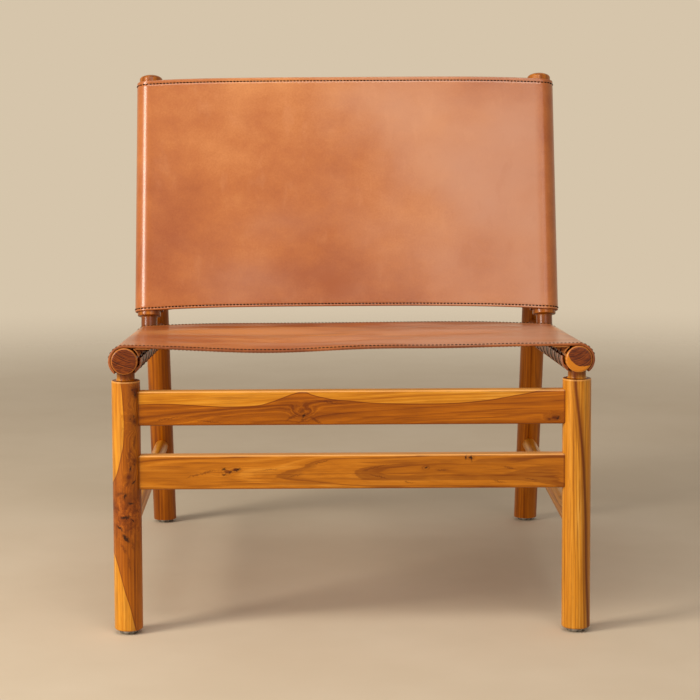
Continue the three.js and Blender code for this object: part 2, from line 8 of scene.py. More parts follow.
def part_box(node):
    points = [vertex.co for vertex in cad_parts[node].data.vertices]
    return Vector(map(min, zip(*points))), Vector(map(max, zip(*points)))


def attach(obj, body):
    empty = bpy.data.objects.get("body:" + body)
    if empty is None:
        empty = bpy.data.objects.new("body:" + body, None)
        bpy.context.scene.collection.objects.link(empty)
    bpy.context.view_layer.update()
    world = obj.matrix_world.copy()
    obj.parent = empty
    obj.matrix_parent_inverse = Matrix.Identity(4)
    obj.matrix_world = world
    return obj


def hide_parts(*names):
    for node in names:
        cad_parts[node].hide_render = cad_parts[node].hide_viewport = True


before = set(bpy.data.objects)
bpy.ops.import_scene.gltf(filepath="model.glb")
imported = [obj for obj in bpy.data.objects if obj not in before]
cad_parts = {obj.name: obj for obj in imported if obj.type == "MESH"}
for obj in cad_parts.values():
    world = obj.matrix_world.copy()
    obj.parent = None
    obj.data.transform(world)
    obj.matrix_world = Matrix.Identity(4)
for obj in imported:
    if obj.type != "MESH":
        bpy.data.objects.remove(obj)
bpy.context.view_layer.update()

# ---------------------------------------------------------------------------------------------
# The view. A long lens just above the back looks a little down at the chair's front, from left
# of its middle. A third of that is lens shift, which keeps upright edges near parallel.

PICTURE = 700
LENS_AXIS = (315.3, 256.4)         # where the lens axis meets the picture, in its pixels
LENS_PIXELS = 2183                 # focal length in pixels of the picture
FRONT_TO_CAMERA = 2.8762           # from the front legs
CAMERA_HEIGHT = 0.7678
CAMERA_SIDE = -0.0456
CAMERA_PITCH = radians(5.2)
CAMERA_ROLL = 0.00542
low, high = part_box("front_rail_upper")
leg_y = (low.y + high.y) / 2

camera = bpy.data.objects.new("camera", bpy.data.cameras.new("camera"))
bpy.context.scene.collection.objects.link(camera)
bpy.context.scene.camera = camera
camera.location = (CAMERA_SIDE, leg_y - FRONT_TO_CAMERA, CAMERA_HEIGHT)
camera.rotation_euler = (pi / 2 - CAMERA_PITCH, CAMERA_ROLL, 0)
camera.data.sensor_width = 36
camera.data.lens = LENS_PIXELS / PICTURE * camera.data.sensor_width
camera.data.shift_x = 0.5 - LENS_AXIS[0] / PICTURE
camera.data.shift_y = LENS_AXIS[1] / PICTURE - 0.5
bpy.context.scene.view_settings.view_transform = "Standard"


# ---------------------------------------------------------------------------------------------
# The studio. A plain pale floor that fades into a background of its own colour, a large soft
# lamp from the front left, a weak one from the right and a wide one in front above the chair.

class Wire:
    """A socket in a material. Sums and products of wires add the Math nodes that work them out."""

    def __init__(self, socket):
        self.socket = socket
        self.tree = socket.id_data

    def node(self, kind, settings, inputs, output=0):
        """Adds a node: its settings first, then the values or wires of its sockets."""
        node = self.tree.nodes.new(kind)
        for name, value in settings.items():
            if name == "stops":
                elements = node.color_ramp.elements
                elements.remove(elements[1])
                elements[0].position, elements[0].color = value[0]
                for position, colour in value[1:]:
                    elements.new(position).color = colour
            elif name == "points":
                points = node.mapping.curves[0].points
                for spot in value[1:-1]:
                    points.new(*spot)
                points[0].location = value[0]
                points[len(points) - 1].location = value[-1]
                node.mapping.update()
            else:
                setattr(node, name, value)
        for name, value in inputs.items():
            if isinstance(value, Wire):
                self.tree.links.new(value.socket, node.inputs[name])
            else:
                node.inputs[name].default_value = value
        return Wire(node.outputs[output])

    def maths(self, operation, *others):
        inputs = dict(enumerate((self, *others)))
        return self.node("ShaderNodeMath", {"operation": operation}, inputs)

    def __add__(self, other):
        return self.maths("ADD", other)

    def __sub__(self, other):
        return self.maths("SUBTRACT", other)

    def __rsub__(self, other):
        return self.node("ShaderNodeMath", {"operation": "SUBTRACT"}, {0: other, 1: self})

    def __mul__(self, other):
        return self.maths("MULTIPLY", other)

    def __truediv__(self, other):
        return self.maths("DIVIDE", other)

    __radd__ = __add__
    __rmul__ = __mul__

    def feed(self, name):
        """Leads this wire to a socket of the material's own shader."""
        self.tree.links.new(self.socket, self.tree.nodes["Principled BSDF"].inputs[name])

    def step(self, low, high):
        """0 below low and 1 above high, with a smooth rise between."""
        settings = {"interpolation_type": "SMOOTHSTEP"}
        limits = {"Value": self, "From Min": low, "From Max": high}
        return self.node("ShaderNodeMapRange", settings, limits)

    def blend(self, first, second):
        """Mixes two colours, with this wire as the share of the second."""
        inputs = {0: self, 6: first, 7: second}
        return self.node("ShaderNodeMix", {"data_type": "RGBA"}, inputs, 2)

    def vector(self, operation, other, output=0):
        settings = {"operation": operation}
        return self.node("ShaderNodeVectorMath", settings, {0: self, 1: other}, output)

    def plus(self, other):
        return self.vector("ADD", other)

    def minus(self, other):
        return self.vector("SUBTRACT", other)

    def times(self, *factors):
        return self.vector("MULTIPLY", factors)

    def length(self):
        return self.vector("LENGTH", (0, 0, 0), "Value")

    def part(self, axis):
        return self.node("ShaderNodeSeparateXYZ", {}, {"Vector": self}, axis)

    def ramp(self, *stops):
        """The colour that this wire picks between (position, colour) stops."""
        return self.node("ShaderNodeValToRGB", {"stops": stops}, {"Fac": self})

    def bump(self, strength, distance):
        """Raises the material's surface by this wire."""
        inputs = {"Strength": strength, "Distance": distance, "Height": self}
        self.node("ShaderNodeBump", {}, inputs, "Normal").feed("Normal")

    def noise(self, scale, detail=2.0, roughness=0.5, output="Fac", **settings):
        source = "W" if settings.get("noise_dimensions") == "1D" else "Vector"
        inputs = {source: self, "Scale": scale, "Detail": detail, "Roughness": roughness}
        return self.node("ShaderNodeTexNoise", settings, inputs, output)

    def jitter(self, scale, detail, roughness):
        """A noise with three parts, each from about -0.5 to 0.5."""
        return self.noise(scale, detail, roughness, "Color").minus((0.5, 0.5, 0.5))


def colour(red, green, blue):
    """A colour given as it looks on a screen, from 0 to 255."""
    def linear(value):
        share = value / 255
        return share / 12.92 if share <= 0.04045 else ((share + 0.055) / 1.055) ** 2.4
    return (linear(red), linear(green), linear(blue), 1)


def new_finish(name, **constants):
    """A material, and the wire of its piece's own coordinates. Constants sit on the shader."""
    material = bpy.data.materials.new(name)
    material.use_nodes = True
    tree = material.node_tree
    for socket, value in constants.items():
        tree.nodes["Principled BSDF"].inputs[socket.replace("_", " ")].default_value = value
    return material, Wire(tree.nodes.new("ShaderNodeTexCoord").outputs["Object"])


def new_piece(name, points, faces, materials, indices=None, place=None, smooth=True):
    """A mesh object, with a material index for each face where it has several."""
    mesh = bpy.data.meshes.new(name)
    mesh.from_pydata(points, [], faces)
    for material in materials:
        mesh.materials.append(material)
    if indices:
        mesh.polygons.foreach_set("material_index", indices)
    mesh.polygons.foreach_set("use_smooth", [smooth] * len(mesh.polygons))
    mesh.validate()
    piece = bpy.data.objects.new(name, mesh)
    bpy.context.scene.collection.objects.link(piece)
    piece.matrix_world = place or Matrix.Identity(4)
    return piece


def tube_faces(rings, corners, first=0):
    """Faces between rings of so many points each, numbered from first."""
    faces = []
    for ring, corner in product(range(rings - 1), range(corners)):
        a, b = first + ring * corners, first + (ring + 1) * corners
        after = (corner + 1) % corners
        faces.append((a + corner, a + after, b + after, b + corner))
    return faces


FLOOR_RADIUS = 6
FLOOR_RINGS = 6
FLOOR_SPOKES = 48
PALE = colour(214, 197, 171)
SKY = (0.30, 0.29, 0.28, 1)        # the world's light on the chair

pale_floor, spot = new_finish("pale_floor", Roughness=0.75)
mottle = spot.noise(2.3, 4, 0.6)
mottle.step(0.3, 0.7).blend(colour(206, 187, 160), colour(213, 195, 169)).feed("Base Color")
clear = spot.node("ShaderNodeBsdfTransparent", {}, {})
faded = spot.length().step(1.5, 3.6)
floor_shader = Wire(pale_floor.node_tree.nodes["Principled BSDF"].outputs[0])
surface = spot.node("ShaderNodeMixShader", {}, {0: faded, 1: floor_shader, 2: clear})
pale_floor.node_tree.links.new(
    surface.socket, pale_floor.node_tree.nodes["Material Output"].inputs["Surface"])

floor_points = [(0, 0, 0)]
for ring, spoke in product(range(1, FLOOR_RINGS + 1), range(FLOOR_SPOKES)):
    radius, turn = FLOOR_RADIUS * ring / FLOOR_RINGS, 2 * pi * spoke / FLOOR_SPOKES
    floor_points.append((radius * cos(turn), radius * sin(turn), 0))
floor_faces = [(0, 1 + spoke, 1 + (spoke + 1) % FLOOR_SPOKES) for spoke in range(FLOOR_SPOKES)]
floor_faces += [face[::-1] for face in tube_faces(FLOOR_RINGS, FLOOR_SPOKES, 1)]
floor_piece = new_piece("floor", floor_points, floor_faces, [pale_floor])

world = bpy.data.worlds.new("studio")
bpy.context.scene.world = world
world.use_nodes = True
backdrop = world.node_tree.nodes["Background"]
rays = world.node_tree.nodes.new("ShaderNodeLightPath").outputs
straight, glossy, passing = (
    Wire(rays[f"Is {kind} Ray"]) for kind in ("Camera", "Glossy", "Transmission"))
shown = straight.maths("MAXIMUM", glossy).maths("MAXIMUM", passing).blend(SKY, PALE)
world.node_tree.links.new(shown.socket, backdrop.inputs["Color"])


def soft_lamp(name, place, size, power, tint):
    """A rectangular lamp that faces the chair."""
    lamp = bpy.data.lights.new(name, "AREA")
    lamp.shape = "RECTANGLE"
    lamp.size, lamp.size_y = size
    lamp.energy = power
    lamp.color = tint
    holder = bpy.data.objects.new(name, lamp)
    bpy.context.scene.collection.objects.link(holder)
    holder.location = place
    holder.rotation_euler = (MIDDLE - Vector(place)).to_track_quat("-Z", "Y").to_euler()


MIDDLE = Vector((0, 0, 0.42))
soft_lamp("key_lamp", (-2.7, -1.9, 1.7), (1.1, 1.8), 102, (1, 0.94, 0.84))
soft_lamp("fill_lamp", (1.1, -3.1, 1.6), (1.6, 1.6), 15, (1, 0.95, 0.95))
soft_lamp("top_lamp", (-0.3, -1.5, 2.7), (2.2, 0.9), 26, (1, 0.97, 0.94))


# ---------------------------------------------------------------------------------------------
# Front legs. Round teak turned 38 mm across, with a neck that enters the seat rail from below
# and a flat milled for each cross rail. The left one has sapwood, heartwood and knots in it.

HALF_SPACING = 0.300
FIT_GAP = 0.0003
RAIL_HEIGHT = 0.369                # seat rail's axis at the front legs
RAIL_FALL = radians(3.4)
POST_SETBACK = 0.411               # from the front legs to the posts' feet
POST_LEAN = radians(15)
REAR_SETBACK = 0.711               # from the front legs to the rear legs' feet
REAR_LEAN = radians(-20)
STRETCHER_SHARE = 0.374            # of the rail's height
FRONT_LEG_RADIUS = 0.019
SEAT_RAIL_RADIUS = 0.0175
REAR_LEG_RADIUS = 0.0185
POST_RADIUS = 0.0175
NECK_RADIUS = 0.012
NECK_COVE = 0.0025
EDGE_ROUNDING = 0.0015
FOOT_ROUNDING = 0.003
GLIDE_HEIGHT = 0.0053
LEATHER = 0.0035
SPOKES = 72
ARC_STEPS = 6
ARRIS = radians(32)                # edges sharper than this stay sharp
SIDES = {"left": -1, "right": 1}
ACROSS = Vector((1, 0, 0))


def coordinates(origin, *axes):
    """Coordinates whose x, y and z run along those axes."""
    return Matrix.Translation(origin) @ Matrix(axes).transposed().to_4x4()


class Line:
    """A member's axis in a side frame: a point behind the front legs, a height and a lean."""

    def __init__(self, setback, height, lean):
        self.start = Vector((0, leg_y + setback, height))
        self.along = Vector((0, sin(lean), cos(lean)))

    def at(self, distance):
        return self.start + self.along * distance

    def crossing(self, other):
        """How far along this line the other crosses it."""
        gap = other.start - self.start
        turn = self.along.y * other.along.z - self.along.z * other.along.y
        return (gap.y * other.along.z - gap.z * other.along.y) / turn

    def shoulder(self, radius, mate, mate_radius):
        """How far short of the crossing a shoulder of that radius clears its mate."""
        turn = abs(self.along.y * mate.along.z - self.along.z * mate.along.y)
        return (mate_radius + radius * abs(self.along.dot(mate.along))) / turn

    def place(self, x, distance=0):
        """Coordinates with z along the line and x across the chair."""
        origin = self.at(distance) + ACROSS * x
        return coordinates(origin, ACROSS, self.along.cross(ACROSS), self.along)


front_leg = Line(0, 0, 0)
seat_rail = Line(0, RAIL_HEIGHT, pi / 2 + RAIL_FALL)
post_foot = seat_rail.at(POST_SETBACK / seat_rail.along.y)
back_post = Line(post_foot.y - leg_y, post_foot.z, POST_LEAN)
rear_leg = Line(REAR_SETBACK, 0, REAR_LEAN)
stretcher = Line(0, STRETCHER_SHARE * RAIL_HEIGHT, pi / 2)


def arc(centre, radius, start, end, steps=ARC_STEPS):
    """Points of an arc, as pairs, with angles in degrees."""
    turns = [radians(start + (end - start) * step / steps) for step in range(steps + 1)]
    return [(centre[0] + radius * cos(turn), centre[1] + radius * sin(turn)) for turn in turns]


def necked_end(radius, neck):
    """An end's outline from the axis outwards, as (radius, depth from the tip) pairs."""
    return [
        (0, 0), (NECK_RADIUS - EDGE_ROUNDING, 0), (NECK_RADIUS, EDGE_ROUNDING),
        *arc((NECK_RADIUS + NECK_COVE, neck - NECK_COVE), NECK_COVE, 180, 90),
        *arc((radius - EDGE_ROUNDING, neck + EDGE_ROUNDING), EDGE_ROUNDING, -90, 0)]


def rounded_end(radius, rounding):
    return [(0, 0), (0.5 * radius, 0), *arc((radius - rounding, rounding), rounding, -90, 0)]


def domed_end(radius, rise):
    return [(radius * sin(turn), rise * (1 - cos(turn)))
            for turn in (pi / 2 * step / (2 * ARC_STEPS) for step in range(2 * ARC_STEPS + 1))]


def turned(name, place, start, start_end, finish, finish_end, material, spokes=SPOKES):
    """A round member along z, from the tip of one end's outline to the tip of the other's."""
    outline = [(radius, start + depth) for radius, depth in start_end]
    outline += [(radius, finish - depth) for radius, depth in reversed(finish_end)]
    rings = outline[1:-1]
    points = [(radius * cos(turn), radius * sin(turn), along)
              for radius, along in rings
              for turn in (2 * pi * spoke / spokes for spoke in range(spokes))]
    points += [(0, 0, outline[0][1]), (0, 0, outline[-1][1])]
    faces = tube_faces(len(rings), spokes)
    last = (len(rings) - 1) * spokes
    for spoke in range(spokes):
        after = (spoke + 1) % spokes
        faces += [(len(points) - 2, after, spoke), (len(points) - 1, last + spoke, last + after)]
    piece = new_piece(name, points, faces, [material], place=place)
    piece.data.set_sharp_from_angle(angle=ARRIS)
    return piece


def carved(piece, cutters):
    """Cuts the cutters out of a piece and removes them."""
    for cutter in cutters:
        cut = piece.modifiers.new("cut", "BOOLEAN")
        cut.operation = "DIFFERENCE"
        cut.solver = "EXACT"
        cut.object = cutter
    bpy.context.view_layer.update()
    shaped = piece.evaluated_get(bpy.context.evaluated_depsgraph_get())
    mesh = bpy.data.meshes.new_from_object(shaped)
    piece.modifiers.clear()
    piece.data = mesh
    for cutter in cutters:
        bpy.data.objects.remove(cutter)
    mesh.set_sharp_from_angle(angle=ARRIS)
    return piece


def rectangle(left, right, low, high):
    return [(left, low), (right, low), (right, high), (left, high)]


def prism(name, outline, depth, place, material):
    """A straight prism: an outline in x and z, and its depth in y."""
    count = len(outline)
    points = [(x, -depth / 2, z) for x, z in outline] + [(x, depth / 2, z) for x, z in outline]
    faces = [tuple(range(count)), tuple(reversed(range(count, 2 * count)))]
    faces += [(step, step + count, (step + 1) % count + count, (step + 1) % count)
              for step in range(count)]
    return new_piece(name, points, faces, [material], place=place, smooth=False)


HEARTWOOD = (colour(118, 54, 2), colour(156, 82, 3), colour(180, 99, 6), colour(200, 118, 14))
SAPWOOD = (colour(180, 104, 12), colour(208, 132, 26), colour(226, 152, 42), colour(240, 176, 76))
END_GRAIN = (colour(58, 20, 2), colour(98, 40, 3), colour(146, 76, 12))
SEAM_BROWN = colour(104, 42, 2)
KNOT_BROWN = colour(84, 30, 3)
KNOT_BLACK = colour(26, 9, 3)
BURL = (colour(88, 32, 3), colour(136, 62, 6), colour(182, 98, 20))
# Painted highlight for rounded edges where they catch the light.
EDGE_HIGHLIGHT = colour(244, 184, 108)
MM = 0.001


def in_metres(rows, lengths):
    """Turns the first so many values of each row from millimetres into metres."""
    return [(*(value * MM for value in row[:lengths]), *row[lengths:]) for row in rows]


def knotted(ring, knots, spot, crumple):
    """The distance from the pith, swollen round each knot, and how dark the knots are."""
    dark = None
    for side, along, size, depth in in_metres(knots, 3):
        gap = spot.plus(crumple.times(1.1 * size, 1.1 * size, 2.0 * size))
        gap = gap.minus((side, 0, along)).times(1, 0.03, 0.6)
        near = (gap.length() / size).maths("POWER", 2)
        swell = (near * -1).maths("EXPONENT")
        ring = ring + swell * (1.1 * size)
        core = ((near * -6).maths("EXPONENT") * 1.1 + swell * 0.35) * depth
        dark = core if dark is None else dark + core
    return ring, dark


def swirled(wood, along, reach, strength, height, apart, crumple):
    """Wood with curly grain about a place along it."""
    swirl = apart.plus(crumple.times(0.012, 0.012, 0.030)).times(1, 1, 0.55)
    swirl = swirl.noise(115, 5, 0.72).ramp(*zip((0.38, 0.50, 0.62), BURL))
    within = ((height - along * MM) / (reach * MM)).maths("POWER", 2) * -1
    return (within.maths("EXPONENT") * strength).blend(wood, swirl)


def past_border(border, spot, streak):
    """How far in x a place lies beyond the line through (along, side) points."""
    start, length = border[0][0], border[-1][0] - border[0][0]
    span = max(abs(side) for _, side in border)
    points = [((along - start) / length, 0.5 + 0.5 * side / span) for along, side in border]
    share = (spot.part("Z") - start) / length
    edge = share.node("ShaderNodeFloatCurve", {"points": points}, {"Value": share})
    return spot.part("X") - (edge * 2 - 1) * span + (streak - 0.5) * 0.0018


def marked(wood, marks, tone, strength, face, ragged):
    """Wood with ragged marks on the face at that y."""
    for side, along, half_length, half_width, angle in in_metres(marks, 4):
        laid = ragged.node("ShaderNodeVectorRotate", {"rotation_type": "Y_AXIS"}, {
            "Vector": ragged, "Center": (side, 0, along), "Angle": radians(angle)})
        gap = laid.minus((side, face, along)).times(1 / half_length, 45, 1 / half_width)
        wood = ((1 - gap.length().step(0.25, 1.30)) * strength).blend(wood, tone)
    return wood


def teak(name, pith, seed, border=None, border_side=1, knots=(), sap=1.0, seam=(0.0012, 0.55),
         golden=0.0, tilt=(0.0, 0.0), burl=None, crescent=None, gloss=0.07,
         warmth=0.0, cracks=(), flecks=(), face=0.0, echoes=(), bands=(), lined=0.35):
    """Oiled teak, sawn or turned with z along its grain.

    pith is where the tree's middle lies beside the piece, tilt how it leans, and seed picks the
    place in the tree. A border of (along, side) points in mm parts the heartwood from the pale
    sapwood on border_side. seam is the width and strength of the dark line there, and echoes
    (offset, width, strength) are more of them. sap and golden are how pale the sapwood and the
    rest turn. Knots are (side, along, size, depth of colour) and a burl (along, reach, strength)
    swirls, in mm. Black cracks and brown flecks are (side, along, half length, half width, angle)
    in mm and degrees, on the face at that y. A crescent of sapwood lies outside a circle (x, y,
    radius). bands (axis, middle, half width, strength, tone) lie across, and lined is the
    strength of the growth lines.
    """
    material, spot = new_finish(name, Coat_Weight=gloss, Coat_Roughness=0.16, IOR=1.33,
                                Specular_IOR_Level=0.4)
    apart = spot.plus((seed, 2 * seed, 3 * seed))
    wander = apart.times(1, 1, 0.16).jitter(16, 2, 0.5)
    bent = spot.plus(wander.times(0.016, 0.016, 0))
    crumple = apart.jitter(85, 3, 0.65)
    height = spot.part("Z")
    heart_line = height.node("ShaderNodeCombineXYZ", {}, {
        "X": height * tilt[0] + pith[0], "Y": height * tilt[1] + pith[1], "Z": height})
    ring = bent.minus(heart_line).length()
    fibre = apart.times(1, 1, 0.03).noise(700, 3, 0.65)
    streak = apart.times(1, 1, 0.045).noise(120, 4, 0.6)
    patch = apart.times(1, 1, 0.25).noise(24, 4, 0.55)
    ring, dark = knotted(ring, knots, spot, crumple)
    lines = (ring * 400 + streak * 1.6).noise(1, 3, 0.6, noise_dimensions="1D")
    figure = lines * 0.40 + streak * 0.30 + patch * 0.36 - 0.03
    heart = figure.ramp(*zip((0.34, 0.44, 0.53, 0.64), HEARTWOOD))
    pale = figure.ramp(*zip((0.34, 0.44, 0.54, 0.66), SAPWOOD))
    wood = patch.node("ShaderNodeMix", {"data_type": "RGBA"}, {0: golden, 6: heart, 7: pale}, 2)
    if burl:
        wood = swirled(wood, *burl, height, apart, crumple)
    if border:
        beyond = past_border(in_metres(border, 2), spot, streak) * border_side
        wood = (beyond.step(-0.0005, 0.0005) * sap).blend(wood, pale)
        for offset, width, strength in ((-0.5 * seam[0], *seam), *echoes):
            line = 1 - (beyond - offset).maths("ABSOLUTE").step(0, width)
            wood = (line * strength).blend(wood, SEAM_BROWN)
    if dark:
        wood = dark.maths("MINIMUM", 0.92).blend(wood, KNOT_BROWN)
        black = apart.times(1.4, 1.4, 0.8).noise(190, 2, 0.5).step(0.60, 0.66)
        wood = (black * dark.step(0.18, 0.6) * 0.85).blend(wood, KNOT_BLACK)
    grit = apart.jitter(420, 3, 0.7)
    ragged = spot.plus(crumple.times(0.006, 0, 0.006)).plus(grit.times(0.006, 0, 0.006))
    wood = marked(wood, flecks, KNOT_BROWN, 0.55, face, ragged)
    wood = marked(wood, cracks, KNOT_BLACK, 0.95, face, ragged)
    if crescent:
        across = spot.plus(crumple.times(0.004, 0.004, 0))
        across = across.minus((*crescent[:2], 0)).times(1, 1, 0)
        beyond = across.length() - crescent[2]
        rim = beyond.step(0, 0.0007)
        wood = rim.blend(wood, pale)
    wood = (fibre.step(0.40, 0.66) * 0.18).blend(wood, SEAM_BROWN)
    vein = bent.plus((seed, seed, 0)).times(1, 1, 0.018).noise(300, 2, 0.55)
    wood = (vein.step(0.53, 0.63) * patch.step(0.35, 0.60) * 0.36).blend(wood, SEAM_BROWN)
    drawn = (ring * 760 + streak * 1.2).noise(1, 2, 0.5, noise_dimensions="1D").step(0.55, 0.64)
    wood = (drawn * patch.step(0.42, 0.56) * lined).blend(wood, SEAM_BROWN)
    pore = apart.times(1, 1, 0.04).noise(1700, 1, 0.5).step(0.66, 0.74)
    wood = (pore * 0.30).blend(wood, KNOT_BROWN)
    facing = spot.node("ShaderNodeTexCoord", {}, {}, "Normal")
    endwise = facing.part("Z").maths("ABSOLUTE").step(0.80, 0.98)
    wavy = apart.plus(crumple.times(0.004, 0.004, 0.004))
    sawn = wavy.times(0.35, 1.6, 1).noise(330, 3, 0.6)
    arcs = (ring * 760 + streak * 0.5).noise(1, 2, 0.6, noise_dimensions="1D")
    sawn = arcs * 0.60 + sawn * 0.40
    end_grain = sawn.ramp(*zip((0.38, 0.49, 0.62), END_GRAIN))
    if crescent:
        end_grain = rim.blend(end_grain, SAPWOOD[1])
    wood = endwise.blend(wood, end_grain)
    if warmth:
        wood = patch.node("ShaderNodeMix", {"data_type": "RGBA", "blend_type": "MULTIPLY"}, {
            0: warmth, 6: wood, 7: colour(236, 190, 160)}, 2)
    # Bands across: dark joints, painted highlights on rounded edges, and painted shade at necks
    # and along bottom edges.
    for axis, middle, half, strength, tone in bands:
        place = spot.part(axis)
        band = 1 - (place - middle).maths("ABSOLUTE").step(0.4 * half, half)
        wood = (band * strength).blend(wood, tone)
    wood.feed("Base Color")
    (0.29 + fibre * 0.08 + patch * 0.10 + endwise * 0.04).feed("Roughness")
    (fibre * 0.5 + lines * 0.2 - pore * 0.8).bump(0.22, 0.0004)
    return material


WRAPPED_RAIL = SEAT_RAIL_RADIUS + FIT_GAP + LEATHER
LEG_CLEARANCE = 0.0043             # from the leather to the leg's shoulder
leg_tip = front_leg.crossing(seat_rail)
leg_neck = front_leg.shoulder(FRONT_LEG_RADIUS, seat_rail, WRAPPED_RAIL + LEG_CLEARANCE)
CROSS_THICKNESS = 0.020
CROSS_WIDTH = 0.046
FLAT_MARGIN = 0.001
RUN_OUT = 0.006
FRONT_RAILS = {"upper": 0.8264 * RAIL_HEIGHT, "lower": 0.5932 * RAIL_HEIGHT}


def flat_distance(radius):
    """From a leg's axis to a flat as wide as a cross rail is thick."""
    return sqrt(radius ** 2 - (CROSS_THICKNESS / 2) ** 2)


def flat_cutter(leg, radius, line, distance, side):
    """Mills a flat for a cross rail, with run-outs at 45 degrees."""
    flat = flat_distance(radius)
    reach = CROSS_WIDTH / 2 + FLAT_MARGIN
    outline = [(flat, -reach), (flat + RUN_OUT, -reach - RUN_OUT),
               (flat + RUN_OUT, reach + RUN_OUT), (flat, reach)]
    outline = [(-side * x, z) for x, z in outline]
    if side < 0:
        outline.reverse()
    place = line.place(side * HALF_SPACING, distance)
    return prism("cutter", outline, 3 * radius, place, leg.data.materials[0])


LEG_TEAK = {
    "left": dict(
        pith=(0.030, 0.012), seed=1.7, border_side=-1, seam=(0.0013, 0.6), gloss=0.15,
        burl=(166, 40, 0.85),
        border=[(0, 12), (13, 9), (33, 5), (60, -3), (86, -10), (106, -16), (125, -24),
                (190, -24), (206, -18), (220, -12), (240, -7), (273, -2), (313, -3), (345, -6),
                (369, -9)],
        # The last three knots darken the leg's inner side beside the cross rails.
        knots=[(4, 215, 6, 0.8), (12, 235, 8, 0.6), (11, 290, 10, 0.6), (14, 330, 10, 0.9)],
        cracks=[(-0.8, 132.5, 8.8, 3, -52), (-10, 146, 6.6, 1.7, -38), (-1.8, 160, 8.8, 1.8, 8),
                (7.5, 156, 4, 1.4, -30), (5.9, 180, 5, 1.9, -20), (-1.8, 189, 3.6, 2, 60),
                (6, 226, 4.5, 1.2, 85), (9.5, 208, 3.4, 1.5, 40)],
        flecks=[(-8, 192, 6, 2, 15), (-13, 172, 6, 1.8, -30), (4, 145, 8, 2, 25),
                (10, 168, 6, 2, 65), (-4, 118, 8, 1.8, -60), (8, 122, 10, 1.6, -80),
                (3, 100, 12, 1.4, -84), (11, 262, 14, 3, 88), (6, 245, 10, 2.2, 82),
                (1, 205, 8, 2.2, 60)],
        face=-0.019),
    "right": dict(
        pith=(-0.045, 0.020), seed=4.3, border_side=-1, sap=0.35, golden=0.86,
        seam=(0.0048, 0.95), gloss=0.15,
        echoes=((-0.0068, 0.0028, 0.20), (0.0026, 0.0024, 0.35), (0.0090, 0.0024, 0.15)),
        border=[(0, 13.2), (18, 12.6), (85, 9.6), (154, 8.4), (212, 5.8), (239, 4.2), (269, 1),
                (288, -1.2), (311, -3.8), (345, -6.6), (369, -6.6)]),
}
shoulder = leg_tip - leg_neck
# Painted shade on the neck under the seat rail, partly darker finish gathered in the joint, and a
# painted highlight along the shoulder's edge.
LEG_BANDS = [("Z", shoulder + 0.012, 0.0125, 0.72, SEAM_BROWN),
             ("Z", shoulder - 0.0012, 0.0012, 0.4, EDGE_HIGHLIGHT)]
for side, sign in SIDES.items():
    finish = teak(f"front_leg_teak_{side}", **LEG_TEAK[side], bands=LEG_BANDS)
    leg = turned(
        f"turned_front_leg_{side}", front_leg.place(sign * HALF_SPACING),
        GLIDE_HEIGHT, rounded_end(FRONT_LEG_RADIUS, FOOT_ROUNDING),
        leg_tip, necked_end(FRONT_LEG_RADIUS, leg_neck), finish)
    carved(leg, [flat_cutter(leg, FRONT_LEG_RADIUS, front_leg, height, sign)
                 for height in FRONT_RAILS.values()])
    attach(leg, "root")
    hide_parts(f"front_leg_{side}")


# ---------------------------------------------------------------------------------------------
# Front rails. Flat boards of 46 x 20 mm with eased edges, tenoned into the front legs. The
# upper board has a wavy band of sapwood along its top and a dark knot under the band's peak.

CROSS_ROUNDING = 0.003
BOARD_STEPS = 24
BOARD_ARRIS = radians(40)          # edges sharper than this stay sharp


def rounded_board(name, length, place, material):
    """A board with its length along z, its width along x and its face towards y."""
    wide, thick = CROSS_WIDTH / 2 - CROSS_ROUNDING, CROSS_THICKNESS / 2 - CROSS_ROUNDING
    outline = []
    corners = ((wide, thick), (-wide, thick), (-wide, -thick), (wide, -thick))
    for quarter, corner in enumerate(corners):
        outline += arc(corner, CROSS_ROUNDING, 90 * quarter, 90 * quarter + 90)
    count = len(outline)
    steps = [length * (step / BOARD_STEPS - 0.5) for step in range(BOARD_STEPS + 1)]
    points = [(x, y, z) for z in steps for x, y in outline]
    faces = [tuple(reversed(range(count))),
             tuple(BOARD_STEPS * count + step for step in range(count))]
    faces += tube_faces(BOARD_STEPS + 1, count)
    piece = new_piece(name, points, faces, [material], place=place)
    piece.data.set_sharp_from_angle(angle=BOARD_ARRIS)
    return piece


def crosswise(line, distance):
    """Coordinates for a board across the chair: z to its right end, x up the legs."""
    return coordinates(line.at(distance), line.along, ACROSS.cross(line.along), ACROSS)


